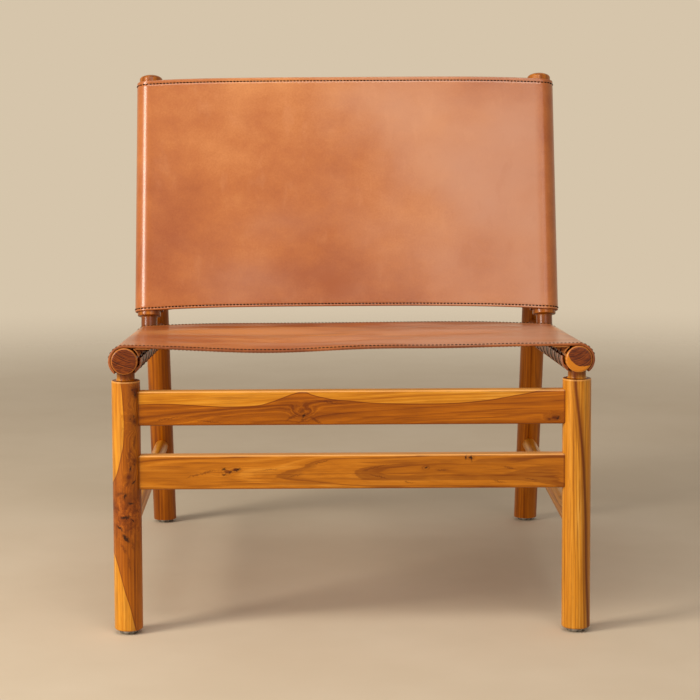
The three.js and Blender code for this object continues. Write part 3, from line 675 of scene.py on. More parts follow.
FRONT_TEAK = {
    "upper": dict(
        pith=(-0.030, -0.040), seed=7.9, tilt=(0.02, 0.03), sap=0.82, seam=(0.0011, 0.85),
        border=[(-286, 6), (-245, 6.7), (-200, 4), (-165, 2.3), (-133, 3), (-112, 7), (-94, 13),
                (-76, 19.5), (-65, 21.5), (-54, 18.5), (-40, 14.7), (-22, 11), (0, 9), (32, 6.3),
                (88, 5.1), (133, 5.6), (168, 8), (199, 12.3), (222, 16.7), (240, 20), (255, 23.4),
                (286, 26)],
        face=0.010,
        knots=[(-14, 271, 6, 0.8), (-16, 262, 4, 0.6), (-6, -66, 9, 0.22)],
        flecks=[(-3, -64, 6.2, 1.7, 52), (-12.5, -80, 10, 2.1, 58), (-17, -47, 9.5, 1.9, -62),
                (-16, -64, 6, 1.8, 64), (-13.5, -245, 24, 1.2, 78), (-17.5, -190, 20, 1.1, 96),
                (8, -30, 22, 1.1, 98)],
        cracks=[(-10, -63.5, 3.4, 1.3, 25), (-14.5, 274, 2.6, 1.4, 30)]),
    "lower": dict(
        pith=(-0.002, -0.046), seed=11.3, golden=0.25, tilt=(0.006, 0.022), lined=0.5, face=0.010,
        knots=[(4, -154.5, 3.6, 0.8), (1, -166, 4, 0.5), (5, 98.5, 2.2, 0.9), (18, 157, 3.5, 0.6)],
        flecks=[(-1.6, -200.5, 26, 1.1, 76), (3.4, -110, 12, 1, 88), (-5, -77, 12, 1.1, 72),
                (13.4, -40, 15, 1, 76), (5.4, 29.5, 20, 1.2, 77), (-6.6, 36, 16, 1.1, 104),
                (2.7, 120, 9, 1.2, 94), (-14.5, 76, 8, 1, 95), (-14, 196.6, 9, 1.1, 98),
                (-12, 240, 9, 1.1, 100), (4, 210, 11, 1.2, 105), (0, -164, 9, 1.8, 60)],
        cracks=[(3.7, -152.5, 5, 1.9, 82), (4.5, -169.5, 2, 3, 10), (0, -161, 1.4, 3.4, -35),
                (-3.5, -170, 1.4, 3, 15), (5.2, 98.5, 1.4, 2.2, 0), (18.5, 152, 5, 1.1, 10),
                (18, 158.5, 5.6, 1.1, -8)]),
}
joint = HALF_SPACING - flat_distance(FRONT_LEG_RADIUS)
# Painted highlight along each board's top edge and painted shade along its bottom edge; the last
# two bands are dark joints at the legs.
BOARD_BANDS = [("X", 0.0222, 0.0012, 0.60, EDGE_HIGHLIGHT), ("X", -0.0225, 0.0012, 0.35, SEAM_BROWN),
               ("Z", joint, 0.0030, 0.6, SEAM_BROWN), ("Z", -joint, 0.0030, 0.6, SEAM_BROWN)]
for place_name, height in FRONT_RAILS.items():
    board = rounded_board(
        f"board_front_{place_name}", 2 * (joint - FIT_GAP),
        crosswise(front_leg, height),
        teak(f"front_rail_teak_{place_name}", **FRONT_TEAK[place_name], bands=BOARD_BANDS))
    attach(board, "root")
    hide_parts(f"front_rail_{place_name}")


# ---------------------------------------------------------------------------------------------
# Rear legs. Raked round legs sawn level at the floor. The seat rails' necks enter them, and
# their own enter the back posts. Like the front legs they have milled flats for two cross rails.

REAR_RAIL_SHARES = {"upper": 1.229, "lower": 0.6216}   # of the way up to the seat rail
REAR_CLEARANCE = 0.003             # from the leather to the leg's shoulder
FOOT_BLOCK = 0.06                  # half the width of what is sawn off a foot
WRAPPED_POST = POST_RADIUS + FIT_GAP + LEATHER
leg_top_neck = rear_leg.shoulder(REAR_LEG_RADIUS, back_post, WRAPPED_POST + REAR_CLEARANCE)
rear_tip = rear_leg.crossing(back_post)
rail_joint = rear_leg.crossing(seat_rail)
REAR_PITHS = {"left": (0.035, 0.030), "right": (-0.028, 0.040)}
SAWN_SEEDS = {"left": 14.2, "right": 16.9}

for side, sign in SIDES.items():
    finish = teak(f"rear_leg_teak_{side}", REAR_PITHS[side], SAWN_SEEDS[side])
    leg = turned(
        f"turned_rear_leg_{side}", rear_leg.place(sign * HALF_SPACING),
        -REAR_LEG_RADIUS, rounded_end(REAR_LEG_RADIUS, EDGE_ROUNDING),
        rear_tip, necked_end(REAR_LEG_RADIUS, leg_top_neck), finish)
    block = prism(
        "cutter", rectangle(-FOOT_BLOCK, FOOT_BLOCK, -FOOT_BLOCK, GLIDE_HEIGHT), 2 * FOOT_BLOCK,
        Matrix.Translation((sign * HALF_SPACING, rear_leg.start.y, 0)), finish)
    flats = [flat_cutter(leg, REAR_LEG_RADIUS, rear_leg, share * rail_joint, sign)
             for share in REAR_RAIL_SHARES.values()]
    carved(leg, [block, *flats])
    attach(leg, "root")
    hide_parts(f"rear_leg_{side}")


# ---------------------------------------------------------------------------------------------
# Rear rails. Two boards of the same section between the rear legs, square to the rake. They
# hold the side frames apart, one low down and one behind the foot of the back leather.

REAR_BOARDS = {
    "upper": dict(pith=(0.020, -0.070), seed=19.4),
    "lower": dict(pith=(-0.035, -0.050), seed=23.6),
}
for place_name, share in REAR_RAIL_SHARES.items():
    board = rounded_board(
        f"board_rear_{place_name}", 2 * (HALF_SPACING - flat_distance(REAR_LEG_RADIUS) - FIT_GAP),
        crosswise(rear_leg, share * rail_joint),
        teak(f"rear_rail_teak_{place_name}", **REAR_BOARDS[place_name]))
    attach(board, "root")
    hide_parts(f"rear_rail_{place_name}")


# ---------------------------------------------------------------------------------------------
# Side stretchers. Dowels of pale sapwood, 21 mm across, low down between front and rear legs.
# Their ends are glued into bores in both legs.

STRETCHER_RADIUS = 0.0105
STRETCHER_SHORT = 0.002            # what they stop short of the legs' axes
stretcher_tip = stretcher.crossing(rear_leg)
for side, sign in SIDES.items():
    dowel = turned(
        f"turned_stretcher_{side}", stretcher.place(sign * HALF_SPACING),
        STRETCHER_SHORT, rounded_end(STRETCHER_RADIUS, EDGE_ROUNDING),
        stretcher_tip - STRETCHER_SHORT, rounded_end(STRETCHER_RADIUS, EDGE_ROUNDING),
        teak(f"stretcher_teak_{side}", (0.004, 0.025), 27 + sign,
             border=[(0, -30), (700, -30)]))
    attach(dowel, "root")
    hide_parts(f"side_stretcher_{side}")


# ---------------------------------------------------------------------------------------------
# Seat rails. Round rails 35 mm across that fall a little towards the rear legs. The seat
# leather is wrapped round them, and their sawn front ends stand 2 mm out of it.

RAIL_OVERHANG = 0.025              # in front of the front legs' axes
RAIL_CLEARANCE = 0.005             # from the rear leg to the rail's shoulder
RAIL_ROUNDING = 0.003
rail_tip = seat_rail.crossing(rear_leg)
rail_neck = seat_rail.shoulder(SEAT_RAIL_RADIUS, rear_leg, REAR_LEG_RADIUS + RAIL_CLEARANCE)
for side, sign in SIDES.items():
    rail = turned(
        f"turned_seat_rail_{side}", seat_rail.place(sign * HALF_SPACING),
        -RAIL_OVERHANG, rounded_end(SEAT_RAIL_RADIUS, RAIL_ROUNDING),
        rail_tip, necked_end(SEAT_RAIL_RADIUS, rail_neck),
        teak(f"seat_rail_teak_{side}", (sign * -0.012, -0.034), 31 + 2 * sign, gloss=0.22,
             # A painted highlight on the rounded edge of the rail's front end.
             bands=[("Z", 0.0016 - RAIL_OVERHANG, 0.0010, 0.30, EDGE_HIGHLIGHT)],
             crescent=(0.0056, -0.0094, 0.0192) if sign > 0 else None, warmth=0.4))
    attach(rail, "root")
    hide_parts(f"seat_rail_{side}")


# ---------------------------------------------------------------------------------------------
# Back posts. Round posts leaning back 15 degrees, with necks that enter the seat rails from
# above and low domes at the top that stand clear of the back leather.

POST_LENGTH = 0.411
POST_DOME = 0.007
POST_CLEARANCE = 0.0125            # from the seat rail to the post's shoulder
post_neck = back_post.shoulder(POST_RADIUS, seat_rail, SEAT_RAIL_RADIUS + POST_CLEARANCE)
for side, sign in SIDES.items():
    post = turned(
        f"turned_post_{side}", back_post.place(sign * HALF_SPACING),
        0, necked_end(POST_RADIUS, post_neck),
        POST_LENGTH, domed_end(POST_RADIUS, POST_DOME),
        teak(f"post_teak_{side}", (sign * 0.010, 0.022), 37 + 2 * sign, gloss=0.45,
             # Painted shade on the neck and foot under the back leather, partly darker finish
             # gathered in the joint.
             bands=[("Z", post_neck - 0.015, 0.021, 0.80, SEAM_BROWN)]))
    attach(post, "root")
    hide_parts(f"back_post_{side}")


# ---------------------------------------------------------------------------------------------
# Glides. Nickelled steel buttons on a nail, driven into the foot of each leg. Their edges are
# rounded, and their plating is worn grey in places.

nickel, spot = new_finish("nickel", Metallic=0.9)
worn = spot.noise(160, 3, 0.6)
worn.step(0.35, 0.7).blend(colour(168, 164, 158), colour(96, 92, 88)).feed("Base Color")
(0.28 + worn * 0.25).feed("Roughness")
GLIDE_RADIUS = 0.0125
GLIDE_ROUNDING = 0.0022            # at the floor
GLIDE_EDGE = 0.0006                # at the leg
for end, line in {"front": front_leg, "rear": rear_leg}.items():
    foot = line.at(GLIDE_HEIGHT / line.along.z)
    for side, sign in SIDES.items():
        glide = turned(
            f"nailed_glide_{end}_{side}", Matrix.Translation((sign * HALF_SPACING, foot.y, 0)),
            0, rounded_end(GLIDE_RADIUS, GLIDE_ROUNDING), GLIDE_HEIGHT - FIT_GAP,
            [(0, 0), *arc((GLIDE_RADIUS - GLIDE_EDGE, GLIDE_EDGE), GLIDE_EDGE, -90, 0, 3)], nickel)
        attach(glide, "root")
        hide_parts(f"foot_glide_{end}_{side}")


# ---------------------------------------------------------------------------------------------
# Seat leather. One panel of saddle leather 3.5 mm thick, stretched across the rails and wrapped
# right round each. Its hems are stitched in dark thread, and it has sagged more on the left.


WRAP_EDGE = radians(10)            # where the wrapped edge ends, past the rail's inner side
LACING_GAP = 0.003                 # from there to the lacing strip


class Sling:
    """A leather panel that dips between two rails and wraps both, in coordinates of its own.

    s runs across the leather from its middle, w along the rails, and the offset is square to
    the leather's middle surface, outwards. panel is the s where the leather meets the rail, and
    half the s where it ends.
    """

    def __init__(self, place, core, sag, start, end, dip, insets, bow=0):
        self.place = place
        self.start, self.end, self.insets = start, end, insets
        self.dip, self.bow = dip, bow
        self.middle = core + FIT_GAP + LEATHER / 2
        self.reach = (HALF_SPACING ** 2 + sag ** 2) / (2 * sag)
        self.height = self.reach - sag
        self.lean = asin(HALF_SPACING / self.reach)
        self.panel = (self.reach - self.middle) * self.lean
        self.half = self.panel + self.middle * (1.5 * pi + WRAP_EDGE + self.lean)

    def flat_point(self, s, offset):
        """The section's point at s, without dips, and the direction square to it."""
        sign = -1 if s < 0 else 1
        s = abs(s)
        if s <= self.panel:
            turn = s / (self.reach - self.middle)
            facing = (-sin(turn), cos(turn))
            radius = self.reach - self.middle
            x, y = radius * sin(turn), self.height - radius * cos(turn)
        else:
            turn = pi / 2 + self.lean - (s - self.panel) / self.middle
            facing = (cos(turn), sin(turn))
            x, y = HALF_SPACING + self.middle * facing[0], self.middle * facing[1]
        return sign * (x + offset * facing[0]), y + offset * facing[1]

    def dipped(self, x, w):
        return self.dip(x, (w - self.start) / (self.end - self.start))

    def bowed(self, x, w):
        """Where w comes to lie, as the panel's edges rise towards its middle."""
        return w + self.bow * (1 - min(abs(x) / HALF_SPACING, 1) ** 3)

    def point(self, s, w, offset):
        x, y = self.flat_point(s, offset)
        if abs(s) < self.panel:
            y += self.dipped(x, w)
        return self.place @ Vector((x, y, self.bowed(x, w)))


SKIVED = 0.0014                    # thickness that the leather is pared down to
SKIVED_WIDTH = 0.012
SKIVING_RUN = 0.003
GROOVE = 0.00040                   # depth of the groove that the stitches lie in
GROOVE_STEP = 0.0005
RIM_MARGIN = 0.0016
PANEL_MARGIN = 0.004
PANEL_COLUMNS = 110
WRAP_COLUMNS = 44
PANEL_ROWS = 46
LEATHER_EDGE = radians(50)         # edges sharper than this stay sharp
RIM = [(0.0, 0.30), (0.0002, 0.58), (0.0005, 0.80), (0.0009, 0.94), (0.0014, 1.0)]


def rows_between(start, end, insets):
    """Rows along the rails, as (w, share of the thickness, groove) triples."""
    near, far = ([(edge, share, 0) for edge, share in RIM] + [
        (inset + GROOVE_STEP * step, 1, groove)
        for step, groove in zip(range(-2, 3), (0, 0.6, 1, 0.6, 0))] for inset in insets)
    first, last = start + insets[0] + PANEL_MARGIN, end - insets[1] - PANEL_MARGIN
    rows = [(start + edge, share, groove) for edge, share, groove in near]
    rows += [(first + (last - first) * row / PANEL_ROWS, 1, 0) for row in range(PANEL_ROWS + 1)]
    return rows + [(end - edge, share, groove) for edge, share, groove in reversed(far)]


def columns_of(sling):
    """Columns across the leather, as (s, share of the thickness) pairs."""
    flat = PANEL_COLUMNS // 2
    wrap = (sling.half - RIM_MARGIN - sling.panel) / WRAP_COLUMNS
    right = [(sling.panel * column / flat, 1) for column in range(1, flat + 1)]
    right += [(sling.panel + wrap * column, 1) for column in range(1, WRAP_COLUMNS + 1)]
    right += [(sling.half - inset, share) for inset, share in reversed(RIM)]
    return [(-s, share) for s, share in reversed(right)] + [(0, 1)] + right


def leather_offsets(sling, s, share, groove):
    """Where the outer and inner faces lie, pared from inside along the wrapped edge."""
    outer, inner = LEATHER / 2, -LEATHER / 2
    past = (abs(s) - (sling.half - SKIVED_WIDTH)) / SKIVING_RUN + 0.5
    inner += (LEATHER - SKIVED) * min(max(past, 0), 1)
    middle, half = (outer + inner) / 2, (outer - inner) / 2 * share
    return middle + half - groove * GROOVE, middle - half + groove * GROOVE


def sheet_faces(wide, deep):
    """Faces of a closed sheet: the outer and inner ones in pairs, then those round the rim.

    Its outer points come first, column by column, and then as many inner ones.
    """
    shift, last = wide * deep, (wide - 1) * deep
    faces = []
    for column, row in product(range(wide - 1), range(deep - 1)):
        a, b = column * deep + row, (column + 1) * deep + row
        faces += [(a, a + 1, b + 1, b), (a + shift, b + shift, b + 1 + shift, a + 1 + shift)]
    rim = [(a, a + deep) for a in range(0, last, deep)]
    rim += [(last + row, last + row + 1) for row in range(deep - 1)]
    rim += [(a + deep, a) for a in range(deep - 1, last, deep)]
    rim += [(row + 1, row) for row in range(deep - 1)]
    return faces + [(a, b, b + shift, a + shift) for a, b in rim]


def leather_panel(name, sling, materials):
    """The closed body of a panel: grain side, flesh side and burnished edges."""
    columns, rows = columns_of(sling), rows_between(sling.start, sling.end, sling.insets)
    wide, deep = len(columns), len(rows)
    outer, inner = [], []
    for s, share in columns:
        for w, row_share, groove in rows:
            out, within = leather_offsets(sling, s, share * row_share, groove)
            outer.append(sling.point(s, w, out))
            inner.append(sling.point(s, w, within))
    faces = sheet_faces(wide, deep)
    indices = []
    for column, row in product(range(wide - 1), range(deep - 1)):
        edge = min(column, wide - 2 - column) < 2 or min(row, deep - 2 - row) < 2
        indices += (2, 2) if edge else (0, 1)
    indices += [2] * (len(faces) - len(indices))
    panel = new_piece(name, outer + inner, faces, materials, indices)
    panel.data.set_sharp_from_angle(angle=LEATHER_EDGE)
    return panel


TANS = {
    "grain": (colour(158, 80, 30), colour(182, 104, 45), colour(204, 130, 68)),
    "flesh": (colour(146, 84, 32), colour(172, 106, 46), colour(194, 128, 64)),
    "edge": (colour(122, 60, 20), colour(154, 82, 32), colour(182, 106, 50)),
}
LEATHER_ROUGHNESS = {"grain": 0.37, "flesh": 0.85, "edge": 0.45}
# Colours of a painted rosy sheen, and of painted fold highlights and light scratches.
PAINTED_SHEEN = colour(193, 138, 108)
SHEEN_AND_WEAR_TONE = colour(226, 166, 124)


def saddle_leather(name, seed, face, drift, sheen_place, contrast, fold_sheen_and_wear, gloss):
    """Tanned leather: face is "grain", "flesh" or "edge".

    drift stretches its cloudy tones, contrast spreads them, and sheen_place (start, rise along x,
    spread) is where a painted rosy sheen lies over them. fold_sheen_and_wear is (stretch, share of
    light ones, share of dark) of stretched marks: painted highlights and shade of soft folds on
    the seat, faint scratches on the back. gloss is how much wax lies on the grain.
    """
    tones = TANS[face]
    material, spot = new_finish(name, Coat_Weight=gloss if face == "grain" else 0,
                                Coat_Roughness=0.17, Specular_IOR_Level=0.35)
    apart = spot.plus((seed, 2 * seed, 3 * seed))
    drawn = apart.times(*drift)
    cloud = drawn.noise(4.5, 3, 0.5)
    blotch = drawn.noise(20, 5, 0.62)
    speck = apart.noise(380, 2, 0.6)
    shade = cloud * 0.56 + blotch * 0.30 + speck * 0.12
    tan = shade.ramp(*zip((0.49 - contrast, 0.49, 0.49 + contrast), tones))
    if face == "grain":
        side = spot.part("X")
        # Painted rosy sheen over the flat of the panel, growing towards the right and kept off the
        # wrapped edges.
        start, rise, spread = sheen_place
        rosy = side * rise + drawn.noise(6, 4, 0.5) * 1.7 - start
        flat = 1 - side.step(HALF_SPACING - 0.012, HALF_SPACING + 0.006)
        tan = (rosy.step(0, spread) * flat * 0.9).blend(tan, PAINTED_SHEEN)
        # Painted highlights and painted shade of soft folds on the seat; on the back, faint light
        # and dark scratch lines.
        stretch, light, dark = fold_sheen_and_wear
        sheen_and_wear_noise = apart.times(*stretch).noise(60, 4, 0.6)
        tan = (sheen_and_wear_noise.step(0.56, 0.70) * light).blend(tan, SHEEN_AND_WEAR_TONE)
        tan = ((1 - sheen_and_wear_noise.step(0.30, 0.44)) * dark).blend(tan, tones[0])
    tan.feed("Base Color")
    rough = LEATHER_ROUGHNESS[face] + (blotch - 0.5) * 0.20 + (speck - 0.5) * 0.10
    rough.feed("Roughness")
    uneven = apart.plus(apart.noise(300, 2, 0.5, "Color").times(0.002, 0.002, 0.002))
    pebble = spot.node("ShaderNodeTexVoronoi", {"feature": "DISTANCE_TO_EDGE"},
                       {"Vector": uneven, "Scale": 620}, "Distance")
    height = pebble.step(0, 0.35) * 0.5 + speck * 0.4 + blotch * 0.8
    height.bump(0.14 if face == "grain" else 0.5, 0.0006)
    return material


def strand(points, faces, path, widths, thicknesses, sides, corners):
    """Adds a closed strand along a path to a mesh, with an oval section that sides turn."""
    count = len(path)
    first, last = len(points), len(points) + (count - 1) * corners
    for step, here in enumerate(path):
        ahead = (path[min(step + 1, count - 1)] - path[max(step - 1, 0)]).normalized()
        across = (sides[step] - ahead * sides[step].dot(ahead)).normalized()
        up = ahead.cross(across)
        for corner in range(corners):
            turn = 2 * pi * corner / corners
            out, rise = cos(turn) * widths[step], sin(turn) * thicknesses[step]
            points.append(here + across * out + up * rise)
    faces += [tuple(range(first, first + corners))[::-1], tuple(range(last, last + corners))]
    faces += tube_faces(count, corners, first)


STITCH_PITCH = 0.00515
STITCH_LENGTH = 0.0036
THREAD_RADIUS = 0.00095
THREAD_CORNERS = 6
# Along one stitch: share of its length, share of the thread's radius, rise in radii.
STITCH_SHAPE = [(0, 0.45, -0.9), (0.12, 0.9, -0.1), (0.35, 1.0, 0.35), (0.65, 1.0, 0.35),
                (0.88, 0.9, -0.1), (1, 0.45, -0.9)]


dark_thread, spot = new_finish("dark_thread", Roughness=1.0, IOR=1.2)
twist = spot.noise(900, 2, 0.5)
twist.step(0.3, 0.7).blend(colour(12, 4, 2), colour(30, 12, 6)).feed("Base Color")


def stitched_hem(name, sling, w, reach):
    """A row of stitches on both faces of the leather, from -reach to reach across it."""
    points, faces = [], []
    count = floor(2 * reach / STITCH_PITCH)
    starts = [(number - count / 2) * STITCH_PITCH for number in range(count)]
    for start, face in product(starts, (1, -1)):
        path, sides = [], []
        for share, _, lift in STITCH_SHAPE:
            s = start + share * STITCH_LENGTH
            ground = leather_offsets(sling, s, 1, 1)[0 if face > 0 else 1]
            depth = ground + face * lift * THREAD_RADIUS
            path.append(sling.point(s, w, depth))
            sides.append(sling.point(s, w + 0.001, depth) - path[-1])
        radii = [THREAD_RADIUS * size for _, size, _ in STITCH_SHAPE]
        strand(points, faces, path, radii, radii, sides, THREAD_CORNERS)
    hem = new_piece(name, points, faces, [dark_thread])
    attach(hem, "root")


SEAT_SAG = 0.005
SEAT_REVEAL = 0.002                # of each rail's front end
SEAT_CLEARANCE = 0.002             # from the posts' necks
SEAT_HEM_PAST = 0.030              # how far the stitches go on round the rails
seat_front = SEAT_REVEAL - RAIL_OVERHANG
seat_rear = (seat_rail.crossing(back_post) - seat_rail.shoulder(0, back_post, NECK_RADIUS)
             - SEAT_CLEARANCE)


def sling_place(line, facing):
    """Coordinates with z along a line and y square to it, on the side that the leather faces."""
    up = line.along.cross(ACROSS)
    return coordinates(line.start, ACROSS, up * (1 if up.dot(facing) > 0 else -1), line.along)


CURL = 0.0095                      # share of the seat's depth over which its front edge turns down


def seat_dip(x, share):
    """The seat's uneven sag, deepest at the front left of the middle, with soft folds across."""
    across = x / HALF_SPACING
    fade = max(0.0, 1 - across ** 4) ** 1.5
    front = (1 - share) ** 1.5
    low = exp(-((across + 0.50) / 0.40) ** 2)
    dip = (0.0042 - 0.0058 * low) * front + (0.0080 - 0.0010 * low) * share ** 2
    dip -= 0.0022 * exp(-(share / CURL) ** 2)
    middle = exp(-((across + 0.10) / 0.75) ** 2)
    folds = 0.0023 * sin(20 * share + 1.9 * across + 0.6 + 0.5 * sin(5 * across)) * middle
    folds += 0.0017 * sin(34 * share - 2.6 * across + 1.1) * (0.35 + 0.65 * share)
    folds += 0.0006 * sin(61 * share + 4.0 * across) * middle
    ripple = 0.0005 * sin(9 * across + 0.7) * front
    return fade * (dip + folds * min(1, 7 * share) * min(1, 9 * (1 - share)) + ripple)


seat = Sling(sling_place(seat_rail, Vector((0, 0, 1))), SEAT_RAIL_RADIUS, SEAT_SAG,
             seat_front, seat_rear, seat_dip, (0.0026, 0.0045))
seat_leathers = [saddle_leather(f"seat_{face}", 2, face, (0.50, 1.6, 1), (0.76, 1.3, 0.45), 0.060,
                                ((0.10, 0.42, 1), 0.15, 0.70), 0.30)
                 for face in ("grain", "flesh", "edge")]
seat_panel = leather_panel("seat_leather", seat, seat_leathers)

# Each front leg's neck comes up through a notch that is open to the front edge, and in front of
# it the leather's wrapped edge is cut away on the laced side.
NOTCH = NECK_RADIUS + 0.001
NOTCH_DEPTH = 0.05
RELIEF_DEPTH = 0.04
RELIEF_REACH = WRAPPED_RAIL + 0.004
NOTCH_END = rounded_end(NOTCH, 0.0001)
NOTCH_SPOKES = 48
burnished = seat_leathers[2]
roof = leg_tip + RELIEF_REACH * sin(WRAP_EDGE) + LACING_GAP
cutters = []
for side, sign in SIDES.items():
    x = sign * HALF_SPACING
    inner, outer = sorted((0, -sign * RELIEF_REACH))
    cutters += [
        turned("cutter", front_leg.place(x), leg_tip - 2 * leg_neck, NOTCH_END,
               leg_tip - 0.001, NOTCH_END, burnished, NOTCH_SPOKES),
        prism("cutter", rectangle(-NOTCH, NOTCH, leg_tip - NOTCH_DEPTH, leg_tip), NOTCH_DEPTH,
              Matrix.Translation((x, leg_y - NOTCH_DEPTH / 2, 0)), burnished),
        prism("cutter", rectangle(inner, outer, roof - 2 * RELIEF_REACH, roof), RELIEF_DEPTH,
              Matrix.Translation((x, leg_y - NECK_RADIUS - RELIEF_DEPTH / 2, 0)), burnished)]
carved(seat_panel, cutters)
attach(seat_panel, "root")
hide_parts("seat_sling")
2 * seat.half
seat_rear - seat_front

for end, w in (("front", seat_front + seat.insets[0]), ("rear", seat_rear - seat.insets[1])):
    stitched_hem(f"seat_stitches_{end}", seat, w, seat.panel + SEAT_HEM_PAST)


# ---------------------------------------------------------------------------------------------
# Lacing. A thin angled strip is bonded under each panel beside the rail, and a dark leather
# lace pulls the wrapped edge towards it, over the outside and back between leather and rail.

FLANGE = 0.022
WRAP_HOLE_INSET = 0.014
STRIP_HOLE_INSET = 0.0035
LACE_PITCH = 0.050
LACE_WIDTH = 0.0048
LACE_THICKNESS = 0.0012
LACE_CORNERS = 10
LACE_END_MARGIN = 0.016
LACE_GAP = 0.0003
STRIP_STEPS = 8
STRIP_INSET = 0.010


def lacing_strip(name, sling, sign, material):
    """A web beside the rail and a flange under the panel, bent from one strip."""
    thin = sling.middle + LEATHER / 2 - SKIVED / 2
    edge = WRAP_EDGE + LACING_GAP / sling.middle
    under = sling.reach - sling.middle + LEATHER / 2 + FIT_GAP + SKIVED / 2
    square = sling.reach ** 2 + thin ** 2 - under ** 2
    at_rail = acos(square / (2 * sling.reach * thin))
    at_sag = asin(thin * sin(at_rail) / under)
    web_end = pi / 2 + sling.lean + at_rail
    path = []
    for step in range(STRIP_STEPS + 1):
        turn = pi - edge + (web_end - pi + edge) * step / STRIP_STEPS
        path.append(((HALF_SPACING + thin * cos(turn), thin * sin(turn)), (cos(turn), sin(turn))))
    for step in range(1, STRIP_STEPS + 1):
        turn = sling.lean - at_sag - FLANGE / under * step / STRIP_STEPS
        path.append(((under * sin(turn), sling.height - under * cos(turn)),
                     (sin(turn), -cos(turn))))
    rows = rows_between(sling.start, sling.end, (STRIP_INSET, STRIP_INSET))
    faces_of = {1: [], -1: []}
    for step, ((x, y), (across, up)) in enumerate(path):
        taper = 0.5 if step in (0, len(path) - 1) else 1
        for (w, share, _), face in product(rows, (1, -1)):
            thickness = face * SKIVED / 2 * share * taper
            px, py = x + across * thickness, y + up * thickness
            if px < HALF_SPACING:
                py += sling.dipped(sign * px, w)
            faces_of[face].append(sling.place @ Vector((sign * px, py, sling.bowed(px, w))))
    faces = [face[::sign] for face in sheet_faces(len(path), len(rows))]
    strip = new_piece(name, faces_of[1] + faces_of[-1], faces, [material])
    strip.data.set_sharp_from_angle(angle=LEATHER_EDGE)
    return strip


def stroke_depths(start, end):
    """Where the strokes fall along the rail, spread evenly over the laced length."""
    spaces = floor((end - start - 2 * LACE_END_MARGIN) / LACE_PITCH)
    first = (start + end - spaces * LACE_PITCH) / 2
    return [first + stroke * LACE_PITCH for stroke in range(spaces + 1)]


def smooth_path(knots, steps):
    """A smooth line through the knots."""
    path = []
    for number in range(len(knots) - 1):
        before, after = knots[max(number - 1, 0)], knots[min(number + 2, len(knots) - 1)]
        here, there = knots[number], knots[number + 1]
        for step in range(steps):
            t = step / steps
            path.append(0.5 * (2 * here + (there - before) * t
                               + (2 * before - 5 * here + 4 * there - after) * t * t
                               + (3 * here - before - 3 * there + after) * t ** 3))
    return path + [knots[-1]]


dark_lace, spot = new_finish("dark_lace", Coat_Weight=0.2, Coat_Roughness=0.3)
waxed = spot.noise(150, 4, 0.6)
waxed.step(0.3, 0.7).blend(colour(42, 17, 7), colour(82, 40, 18)).feed("Base Color")
(0.38 + waxed * 0.2).feed("Roughness")
waxed.bump(0.4, 0.0003)


def laced(name, sling, sign, depths):
    """A flat lace: over the outside at each stroke, then slanting back behind the leather."""
    wrap_angle = WRAP_EDGE - WRAP_HOLE_INSET / sling.middle
    strip_angle = WRAP_EDGE + (LACING_GAP + STRIP_HOLE_INSET) / sling.middle

    def knot(share, radius, w):
        turn = wrap_angle + (strip_angle - wrap_angle) * share
        x = sign * (HALF_SPACING - radius * cos(turn))
        return sling.place @ Vector((x, radius * sin(turn), sling.bowed(x, w)))

    clear = LACE_THICKNESS / 2 + LACE_GAP
    over, under = sling.middle + LEATHER / 2 + clear, sling.middle - LEATHER / 2 + clear
    knots = []
    for depth in depths:
        knots += [knot(0, under, depth), knot(0.03, over, depth), knot(0.5, over + 0.0004, depth),
                  knot(0.97, over, depth), knot(1, under, depth)]
        if depth != depths[-1]:
            knots += [knot(1 - share, under, depth + share * LACE_PITCH) for share in (0.33, 0.67)]
    path = smooth_path(knots, 5)
    along = (sling.place.to_3x3() @ Vector((0, 0, 1))).normalized()
    count = len(path)
    points, faces = [], []
    strand(points, faces, path, [LACE_WIDTH / 2] * count, [LACE_THICKNESS / 2] * count,
           [along] * count, LACE_CORNERS)
    lace = new_piece(name, points, faces, [dark_lace])
    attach(lace, "root")
    return lace


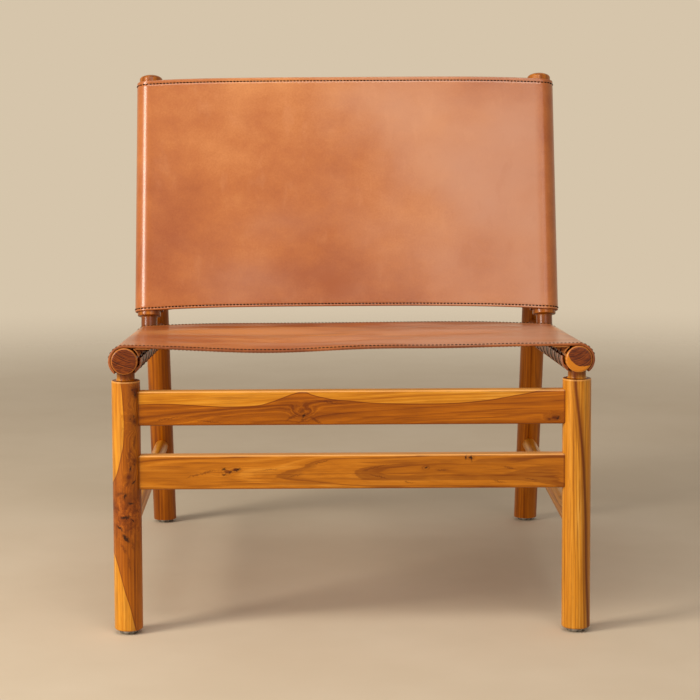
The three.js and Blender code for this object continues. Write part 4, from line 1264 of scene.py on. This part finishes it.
def fit_lacing(name, sling, depths, leathers):
    """Both sides' strips and laces of a panel."""
    for side, sign in SIDES.items():
        strip = lacing_strip(f"{name}_strip_{side}", sling, sign, leathers[1])
        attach(strip, "root")
        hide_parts(f"{name}_lacing_strip_{side}")
        sling.end - sling.start
        lace = laced(f"{name}_lacing_{side}", sling, sign, depths)
        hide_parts(f"{name}_lace_{side}")


fit_lacing("seat", seat, stroke_depths(-NECK_RADIUS, seat_rear), seat_leathers)


# ---------------------------------------------------------------------------------------------
# Back leather. A second panel of the same leather, stretched between the posts and wrapped right
# round them, closed behind by the same lacing. Both its edges rise 7 mm in the middle.

BACK_SAG = 0.012
BACK_BOW = 0.007                   # rise of both edges in the middle
BACK_HEM_PAST = 0.045
BACK_ABOVE_SHOULDER = 0.006
BACK_BELOW_TOP = 0.013
back_start = post_neck + BACK_ABOVE_SHOULDER
back_end = POST_LENGTH - BACK_BELOW_TOP


def back_dip(x, share):
    """Slight waves of the hide between the posts."""
    across = x / HALF_SPACING
    fade = max(0.0, 1 - across ** 4)
    return fade * (0.0008 * sin(3.1 * across + 2.3 * share) * sin(4.0 * share + 0.5)
                   + 0.0005 * sin(6.3 * across - 5.1 * share + 1.0))


back = Sling(sling_place(back_post, Vector((0, -1, 0))), POST_RADIUS, BACK_SAG,
             back_start, back_end, back_dip, (0.0038, 0.0060), BACK_BOW)
back_leathers = [saddle_leather(f"back_{face}", 5, face, (0.7, 1, 1), (0.52, 1.9, 1.2), 0.14,
                                ((0.6, 1, 0.06), 0.07, 0.10), 0.60)
                 for face in ("grain", "flesh", "edge")]
back_panel = leather_panel("back_leather", back, back_leathers)
holes = [turned("cutter", rear_leg.place(sign * HALF_SPACING), rear_tip - leg_top_neck,
                NOTCH_END, rear_tip, NOTCH_END, back_leathers[2], NOTCH_SPOKES)
         for sign in SIDES.values()]
carved(back_panel, holes)
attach(back_panel, "root")
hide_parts("back_sling")
2 * back.half
back_end - back_start
for end, w in (("foot", back_start + back.insets[0]), ("top", back_end - back.insets[1])):
    stitched_hem(f"back_stitches_{end}", back, w, back.panel + BACK_HEM_PAST)
fit_lacing("back", back, stroke_depths(back_start, back_end), back_leathers)
